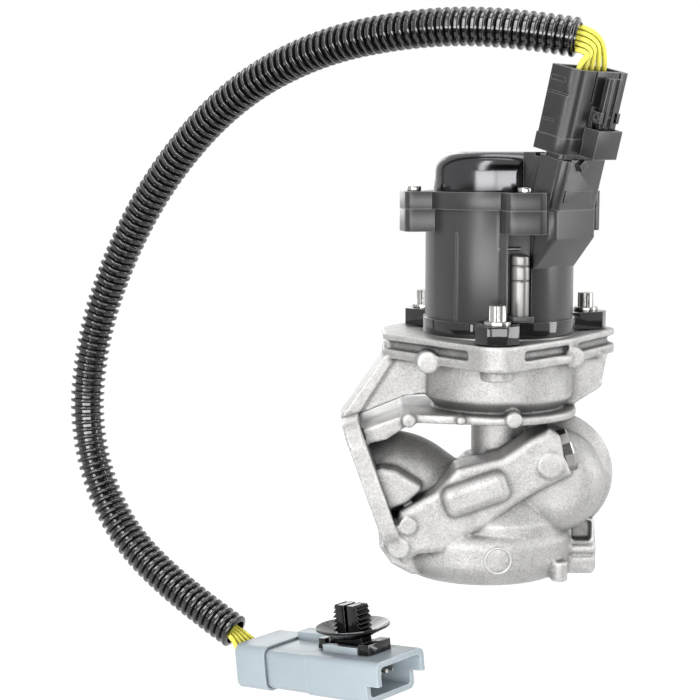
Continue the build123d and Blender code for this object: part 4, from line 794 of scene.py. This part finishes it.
class GASVALVE_OT_casting(GasValveStep, bpy.types.Operator):
    """Die-cast housing with soft cast edges, and the steel cap that closes its bowl"""

    bl_idname = "gasvalve.casting"
    bl_label = "Casting"

    def execute(self, context):
        sizes = self.sizes
        grid = {"mode": "VOXEL", "voxel_size": sizes.casting_grain, "adaptivity": 0.0}
        soften = {"factor": 0.5, "iterations": 3}
        mesh = settled(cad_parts["valve_housing"].data.copy(), [("REMESH", grid), ("SMOOTH", soften)])
        mesh.shade_smooth()
        skin = blasted_aluminium(self.colours)
        casting = show("casting", mesh, skin, nodes=["valve_housing"])
        mark = cast_ring(casting, sizes.mark_diameter)
        show("cast_mark", mark, skin)
        radius = sizes.arm_plug_diameter / 2 / MM
        disc = faceted_disc(ARM_END, ARM_END_AXIS, radius, ARM_PLUG_THICK, ARM_PLUG_EDGE)
        # Turned and plated: bright flats that flash as they catch a lamp
        bright = bare_metal("turned_plug_steel", self.colours.zinc, 0.16, relief=0.05)
        show("arm_plug", disc, bright)
        # Pressed and rolled sheet: a soft grey shine
        give("closing_cap", bare_metal("pressed_steel_cap", self.colours.gasket, 0.35))
        give("housing_gasket", bare_metal("beaded_steel_gasket", self.colours.gasket, 0.4))
        return {"FINISHED"}


class GASVALVE_OT_valve_train(GasValveStep, bpy.types.Operator):
    """Seat, poppet, stem, guide and seals inside the casting"""

    bl_idname = "gasvalve.valve_train"
    bl_label = "Valve Train"

    def execute(self, context):
        # Ground along its length: a bright shine drawn out in fine lines
        steel = bare_metal("ground_stainless_steel", self.colours.seat, 0.25, (1, 1, 0.1), 0.4)
        # Pressed from powder: dull and faintly porous
        bush = bare_metal("sintered_iron", self.colours.bush, 0.6, streak_mm=0.3, relief=0.5)
        # Filled with carbon: nearly black and matt
        carbon = moulding("carbon_filled_seal", self.colours.graphite, 0.6)
        for node in ("valve_seat", "valve_head", "valve_stem"):
            give(node, steel)
        give("stem_guide", bush)
        give("stem_seal", carbon)
        # Pressed sheet: a soft grey shine
        give("seal_retainer", bare_metal("pressed_retainer_steel", self.colours.gasket, 0.35))
        return {"FINISHED"}


class GASVALVE_OT_mounting_ring(GasValveStep, bpy.types.Operator):
    """Glossy black mounting ring with its three ears"""

    bl_idname = "gasvalve.mounting_ring"
    bl_label = "Mounting Ring"

    def execute(self, context):
        # Enamel: a hard black gloss with small clean reflections, and a highlight painted along its edges
        gloss = moulding(
            "gloss_black_enamel",
            self.colours.ring,
            0.45,
            grain_mm=0.8,
            relief=0.3,
            edge_highlight=0.6,
            gleam=0.1,
            coat=1.0,
        )
        rounded("lower_ring", "mounting_ring", gloss, self.sizes.moulded_edge)
        return {"FINISHED"}


class GASVALVE_OT_fasteners(GasValveStep, bpy.types.Operator):
    """Bolts with external star heads and the cover's screws, in bright zinc"""

    bl_idname = "gasvalve.fasteners"
    bl_label = "Fasteners"

    def execute(self, context):
        # Zinc plate on cold-headed steel: bright, a little uneven, with no colour of its own
        zinc = bare_metal("bright_zinc_plate", self.colours.zinc, 0.22, streak_mm=0.5, relief=0.2)
        for node, name in (("flange_bolts", "star_bolts"), ("cover_screws", "pan_screws")):
            rounded(node, name, zinc, self.sizes.turned_edge)
        return {"FINISHED"}


class GASVALVE_OT_drum(GasValveStep, bpy.types.Operator):
    """Black moulded drum of the actuator"""

    bl_idname = "gasvalve.drum"
    bl_label = "Actuator Drum"

    def execute(self, context):
        # Glass fibres near the skin: grainy charcoal black, a broad soft shine and a highlight painted on its
        # edges
        black = moulding(
            "glass_filled_black_moulding",
            self.colours.drum,
            0.5,
            grain_mm=0.6,
            relief=1.0,
            speckle=0.7,
            edge_highlight=0.7,
            gleam=0.25,
            coat=0.8,
            coat_rough=0.3,
        )
        rounded("actuator_body", "drum", black, self.sizes.moulded_edge)
        rounded("top_cover", "cover", black, self.sizes.moulded_edge)
        return {"FINISHED"}


class GASVALVE_OT_column(GasValveStep, bpy.types.Operator):
    """Ground steel column and pin in the drum's slot"""

    bl_idname = "gasvalve.column"
    bl_label = "Slot Column"

    def execute(self, context):
        # Ground lengthwise: a soft grey shine drawn out in upright lines
        steel = bare_metal("ground_column_steel", self.colours.column, 0.42, (1, 1, 0.08), 0.35)
        rounded(
            "slot_column", "turned_column", steel, COLUMN_EDGE * MM, corner=TURNED_CORNER
        )
        give("locating_pin", steel)
        return {"FINISHED"}


class GASVALVE_OT_solenoid(GasValveStep, bpy.types.Operator):
    """Pole plate, flux tube, liner, bobbin, winding, armature and spring"""

    bl_idname = "gasvalve.solenoid"
    bl_label = "Solenoid"

    def execute(self, context):
        colours = self.colours
        # Turned soft iron: warm grey, neither bright nor dull
        iron = bare_metal("bare_soft_iron", colours.pole, 0.4)
        for node in ("pole_plate", "flux_tube", "armature"):
            give(node, iron)
        # Filled with carbon: nearly black and matt
        give("armature_bearing", moulding("carbon_filled_liner", colours.graphite, 0.55))
        # Unpigmented nylon: cream with a faint shine
        give("coil_bobbin", moulding("natural_nylon", colours.bobbin, 0.5))
        # Clear enamel on copper: warm and glossy, with the turns as fine lines round it
        give("coil_winding", bare_metal("enamelled_copper", colours.copper, 0.3, (0.1, 0.1, 1), 0.5))
        # Pressed and drawn spring steel under oil: grey with a clear shine
        give("spring_retainer", bare_metal("pressed_spring_seat", colours.spring, 0.35))
        wire = bare_metal("oiled_spring_wire", colours.spring, 0.3)
        spring = show("coil_spring", cad_copy("return_spring"), wire, nodes=["return_spring"])
        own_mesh(spring)
        return {"FINISHED"}


class GASVALVE_OT_sensor(GasValveStep, bpy.types.Operator):
    """Position sensor under the dome: plunger, carrier, board and ring"""

    bl_idname = "gasvalve.sensor"
    bl_label = "Position Sensor"

    def execute(self, context):
        # Moulded black: even, with a satin shine
        black = moulding("black_carrier_moulding", self.colours.carrier, 0.45)
        give("sensor_plunger", black)
        give("sensor_carrier", black)
        # Glazed ceramic: off-white and smooth
        give("sensor_board", moulding("printed_ceramic", self.colours.board, 0.4))
        # Nitrile rubber: soft black without shine
        give("dome_seal", moulding("nitrile_dome_ring", self.colours.rubber, 0.6))
        return {"FINISHED"}


class GASVALVE_OT_dome(GasValveStep, bpy.types.Operator):
    """Polished dome over the sensor"""

    bl_idname = "gasvalve.dome"
    bl_label = "Dome"

    def execute(self, context):
        sizes = self.sizes
        # Black chrome on drawn steel: a dark mirror, with its draw marks as faint upright lines
        plate = bare_metal("polished_black_chrome", self.colours.dome, 0.17, (1, 1, 0.06), 0.7, relief=0.05)
        rounded("dome_cap", "steel_dome", plate, DOME_EDGE * MM, corner=TURNED_CORNER)
        # Plastic film: even off-white, smooth and nearly matt
        film = moulding("bare_label_film", self.colours.label, 0.45, grain_mm=0.8, relief=0.08, spread=0.05)
        mesh = label_plate(sizes.label_width, sizes.label_depth, LABEL_CORNER * MM, LABEL_THICK * MM)
        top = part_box("dome_cap")[1][2]
        mesh.transform(Matrix.Translation((AXIS_X * MM, LABEL_Y * MM, top)))
        show("bare_label", mesh, film)
        return {"FINISHED"}


class GASVALVE_OT_plug(GasValveStep, bpy.types.Operator):
    """Black five-way plug with its latch, seals and terminals"""

    bl_idname = "gasvalve.plug"
    bl_label = "Plug"

    def execute(self, context):
        # Moulded black polyester: deep black with a soft shine and a highlight painted along its edges
        black = moulding(
            "black_plug_moulding",
            self.colours.plug,
            0.45,
            relief=0.6,
            edge_highlight=0.8,
            gleam=0.25,
            coat=0.6,
            coat_rough=0.3,
        )
        edge = self.sizes.moulded_edge * PLUG_EDGE_SHARE
        rounded("plug_housing", "plug", black, edge)
        rounded("plug_latch", "latch", black, edge, body="latch")
        # Silicone rubber: soft dark grey without shine
        rubber = moulding("silicone_seal_rubber", self.colours.rubber, 0.6)
        give("tower_seal", rubber)
        give("wire_seals", rubber)
        # Tin over brass: pale and softly bright
        give("tower_terminals", bare_metal("tinned_brass", self.colours.tin, 0.3))
        return {"FINISHED"}


class GASVALVE_OT_connector(GasValveStep, bpy.types.Operator):
    """Grey in-line connector: shell, rear collar and pins"""

    bl_idname = "gasvalve.connector"
    bl_label = "Grey Connector"

    def execute(self, context):
        # Pigmented polyester: an even cool grey, smooth and satin, with a highlight painted along its edges
        grey = moulding(
            "grey_polyester_moulding",
            self.colours.connector,
            0.36,
            relief=0.25,
            speckle=0.06,
            spread=0.06,
            edge_highlight=1.0,
        )
        edge = self.sizes.moulded_edge
        rounded("connector_housing", "grey_shell", grey, edge)
        rounded("connector_collar", "grey_collar", grey, edge * COLLAR_EDGE_SHARE)
        # Tin over brass: pale and softly bright
        give("connector_pins", bare_metal("tinned_pin_brass", self.colours.tin, 0.25))
        return {"FINISHED"}


class GASVALVE_OT_clip(GasValveStep, bpy.types.Operator):
    """Black fir-tree clip on the grey connector"""

    bl_idname = "gasvalve.clip"
    bl_label = "Fir-Tree Clip"

    def execute(self, context):
        # Moulded nylon: deep black with small sharp reflections and a faint highlight painted along its edges
        black = moulding(
            "black_nylon_clip", self.colours.clip, 0.4, edge_highlight=0.3, gleam=0.05, coat=0.8, coat_rough=0.1
        )
        edge = self.sizes.moulded_edge * CLIP_EDGE_SHARE
        rounded("cable_clip", "fir_tree_clip", black, edge)
        return {"FINISHED"}


class GASVALVE_OT_wires(GasValveStep, bpy.types.Operator):
    """Yellow wires between the plug, the conduit and the grey connector"""

    bl_idname = "gasvalve.wires"
    bl_label = "Wires"

    def execute(self, context):
        # Extruded insulation: clear smooth yellow with a soft shine
        insulation = moulding(
            "yellow_wire_insulation", self.colours.wire, 0.32, relief=0.1, speckle=0.05, spread=0.15
        )
        plug_side, grey_side = wire_routes()
        for name, routes, node in (
            ("plug_wires", plug_side, "valve_wires"),
            ("tail_wires", grey_side, "connector_wires"),
        ):
            wires = nurbs_curve(name, routes, bevel=self.sizes.wire_diameter / 2)
            wires.data.materials.append(insulation)
            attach(wires, BODY)
            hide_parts(node)
        return {"FINISHED"}


class GASVALVE_OT_conduit(GasValveStep, bpy.types.Operator):
    """Corrugated conduit along its own smooth line, with open ends"""

    bl_idname = "gasvalve.conduit"
    bl_label = "Conduit"

    def execute(self, context):
        sizes = self.sizes
        line = line_points(CONDUIT_ROUTE)
        _, total = placed(line, [])
        rib_count = round(total / sizes.rib_pitch)
        outer = sizes.conduit_diameter / 2
        mesh = corrugated_tube(line, rib_count, outer, sizes.conduit_groove, sizes.conduit_bore / 2)
        mesh.shade_smooth()
        mesh.set_sharp_from_angle(angle=radians(RIB_CORNER))
        # Blow-moulded polyamide: jet black, and so glossy that each rib carries a white line
        gloss = moulding(
            "gloss_black_polyamide",
            self.colours.conduit,
            0.42,
            grain_mm=1.2,
            relief=0.3,
            gleam=0.05,
            coat=1.0,
            coat_rough=0.16,
            coat_ior=1.72,
        )
        conduit = show("conduit_tube", mesh, gloss, nodes=["conduit"])
        return {"FINISHED"}


class GASVALVE_OT_stage(GasValveStep, bpy.types.Operator):
    """Pale floor, soft studio light and the camera"""

    bl_idname = "gasvalve.stage"
    bl_label = "Stage"

    def execute(self, context):
        scene = context.scene
        scene.view_settings.view_transform = "Standard"
        # Matt paint: where it is seen it glows nearly white, and keeps a twelfth of its real light and shadow
        paint, tree, shader = surface("pale_floor", {"Base Color": self.colours.floor, "Roughness": 0.9})
        glow = add(tree, "ShaderNodeEmission", {"Color": linear("#ffffff"), "Strength": FLOOR_GLOW})
        lit = shader.outputs[0]
        pale = add(tree, "ShaderNodeMixShader", {0: FLOOR_GLOW_SHARE, 1: lit, 2: glow.outputs[0]})
        seen = add(tree, "ShaderNodeMixShader", {0: seen_directly(tree), 1: lit, 2: pale.outputs[0]})
        tree.links.new(seen.outputs[0], tree.nodes["Material Output"].inputs["Surface"])
        turns = ((-1, -1), (1, -1), (1, 1), (-1, 1))
        corners = [(across * FLOOR_HALF, away * FLOOR_HALF, FLOOR_HEIGHT) for across, away in turns]
        floor = stage_sheet("floor", corners, [(0, 1, 2, 3)], paint)

        world = bpy.data.worlds.new("studio")
        world.use_nodes = True
        scene.world = world
        sky = world.node_tree
        sky.nodes.clear()
        plain = add(sky, "ShaderNodeBackground", {"Color": linear("#ffffff"), "Strength": WORLD_LIGHT})
        white = add(sky, "ShaderNodeBackground", {"Color": linear("#ffffff"), "Strength": 1.0})
        both = {0: seen_directly(sky), 1: plain.outputs[0], 2: white.outputs[0]}
        add(sky, "ShaderNodeOutputWorld", {"Surface": add(sky, "ShaderNodeMixShader", both).outputs[0]})

        # A dark card behind the camera and on the floor in front, seen only in gloss, gives black its depth
        cloth, _, _ = surface("dark_card_cloth", {"Base Color": linear("#272727"), "Roughness": 0.9})
        edges = [(side * CARD_HALF, away, height) for away, height in CARD_PROFILE for side in (-1, 1)]
        card = stage_sheet("dark_card", edges, [(0, 1, 3, 2), (2, 3, 5, 4)], cloth)
        for sight in ("camera", "diffuse", "transmission", "shadow"):
            setattr(card, "visible_" + sight, False)

        for name, spot, aim, wide, high, power in LAMPS:
            lamp = bpy.data.lights.new(name, "AREA")
            lamp.shape = "RECTANGLE"
            lamp.size = wide
            lamp.size_y = high
            lamp.energy = power
            aimed(name, lamp, spot, aim)

        view = bpy.data.cameras.new("photo_view")
        view.sensor_width = CAMERA_SENSOR
        view.lens = CAMERA_LENS
        view.clip_start = CAMERA_CLIP
        scene.camera = aimed("photo_view", view, CAMERA_SPOT, CAMERA_AIM)
        return {"FINISHED"}


OPERATORS = (
    GASVALVE_OT_stage,
    GASVALVE_OT_casting,
    GASVALVE_OT_valve_train,
    GASVALVE_OT_mounting_ring,
    GASVALVE_OT_fasteners,
    GASVALVE_OT_drum,
    GASVALVE_OT_column,
    GASVALVE_OT_solenoid,
    GASVALVE_OT_sensor,
    GASVALVE_OT_dome,
    GASVALVE_OT_plug,
    GASVALVE_OT_connector,
    GASVALVE_OT_clip,
    GASVALVE_OT_wires,
    GASVALVE_OT_conduit,
)


class GASVALVE_PT_sidebar(bpy.types.Panel):
    """Steps of the gas valve in the sidebar"""

    bl_idname = "GASVALVE_PT_sidebar"
    bl_label = "Gas Valve"
    bl_space_type = "VIEW_3D"
    bl_region_type = "UI"
    bl_category = "Gas Valve"

    def draw(self, context):
        for group in (context.scene.gas_valve_sizes, context.scene.gas_valve_colours):
            for name in group.__annotations__:
                self.layout.prop(group, name)
        for operator in OPERATORS:
            self.layout.operator(operator.bl_idname)


CLASSES = (ValveSizes, ValveColours, *OPERATORS, GASVALVE_PT_sidebar)


def register():
    for item in CLASSES:
        bpy.utils.register_class(item)
    bpy.types.Scene.gas_valve_sizes = bpy.props.PointerProperty(type=ValveSizes)
    bpy.types.Scene.gas_valve_colours = bpy.props.PointerProperty(type=ValveColours)


def unregister():
    del bpy.types.Scene.gas_valve_colours
    del bpy.types.Scene.gas_valve_sizes
    for item in reversed(CLASSES):
        bpy.utils.unregister_class(item)


def build_valve():
    """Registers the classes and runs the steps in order."""
    register()
    for operator in OPERATORS:
        group, step = operator.bl_idname.split(".")
        getattr(getattr(bpy.ops, group), step)()


if __name__ == "__main__":
    build_valve()
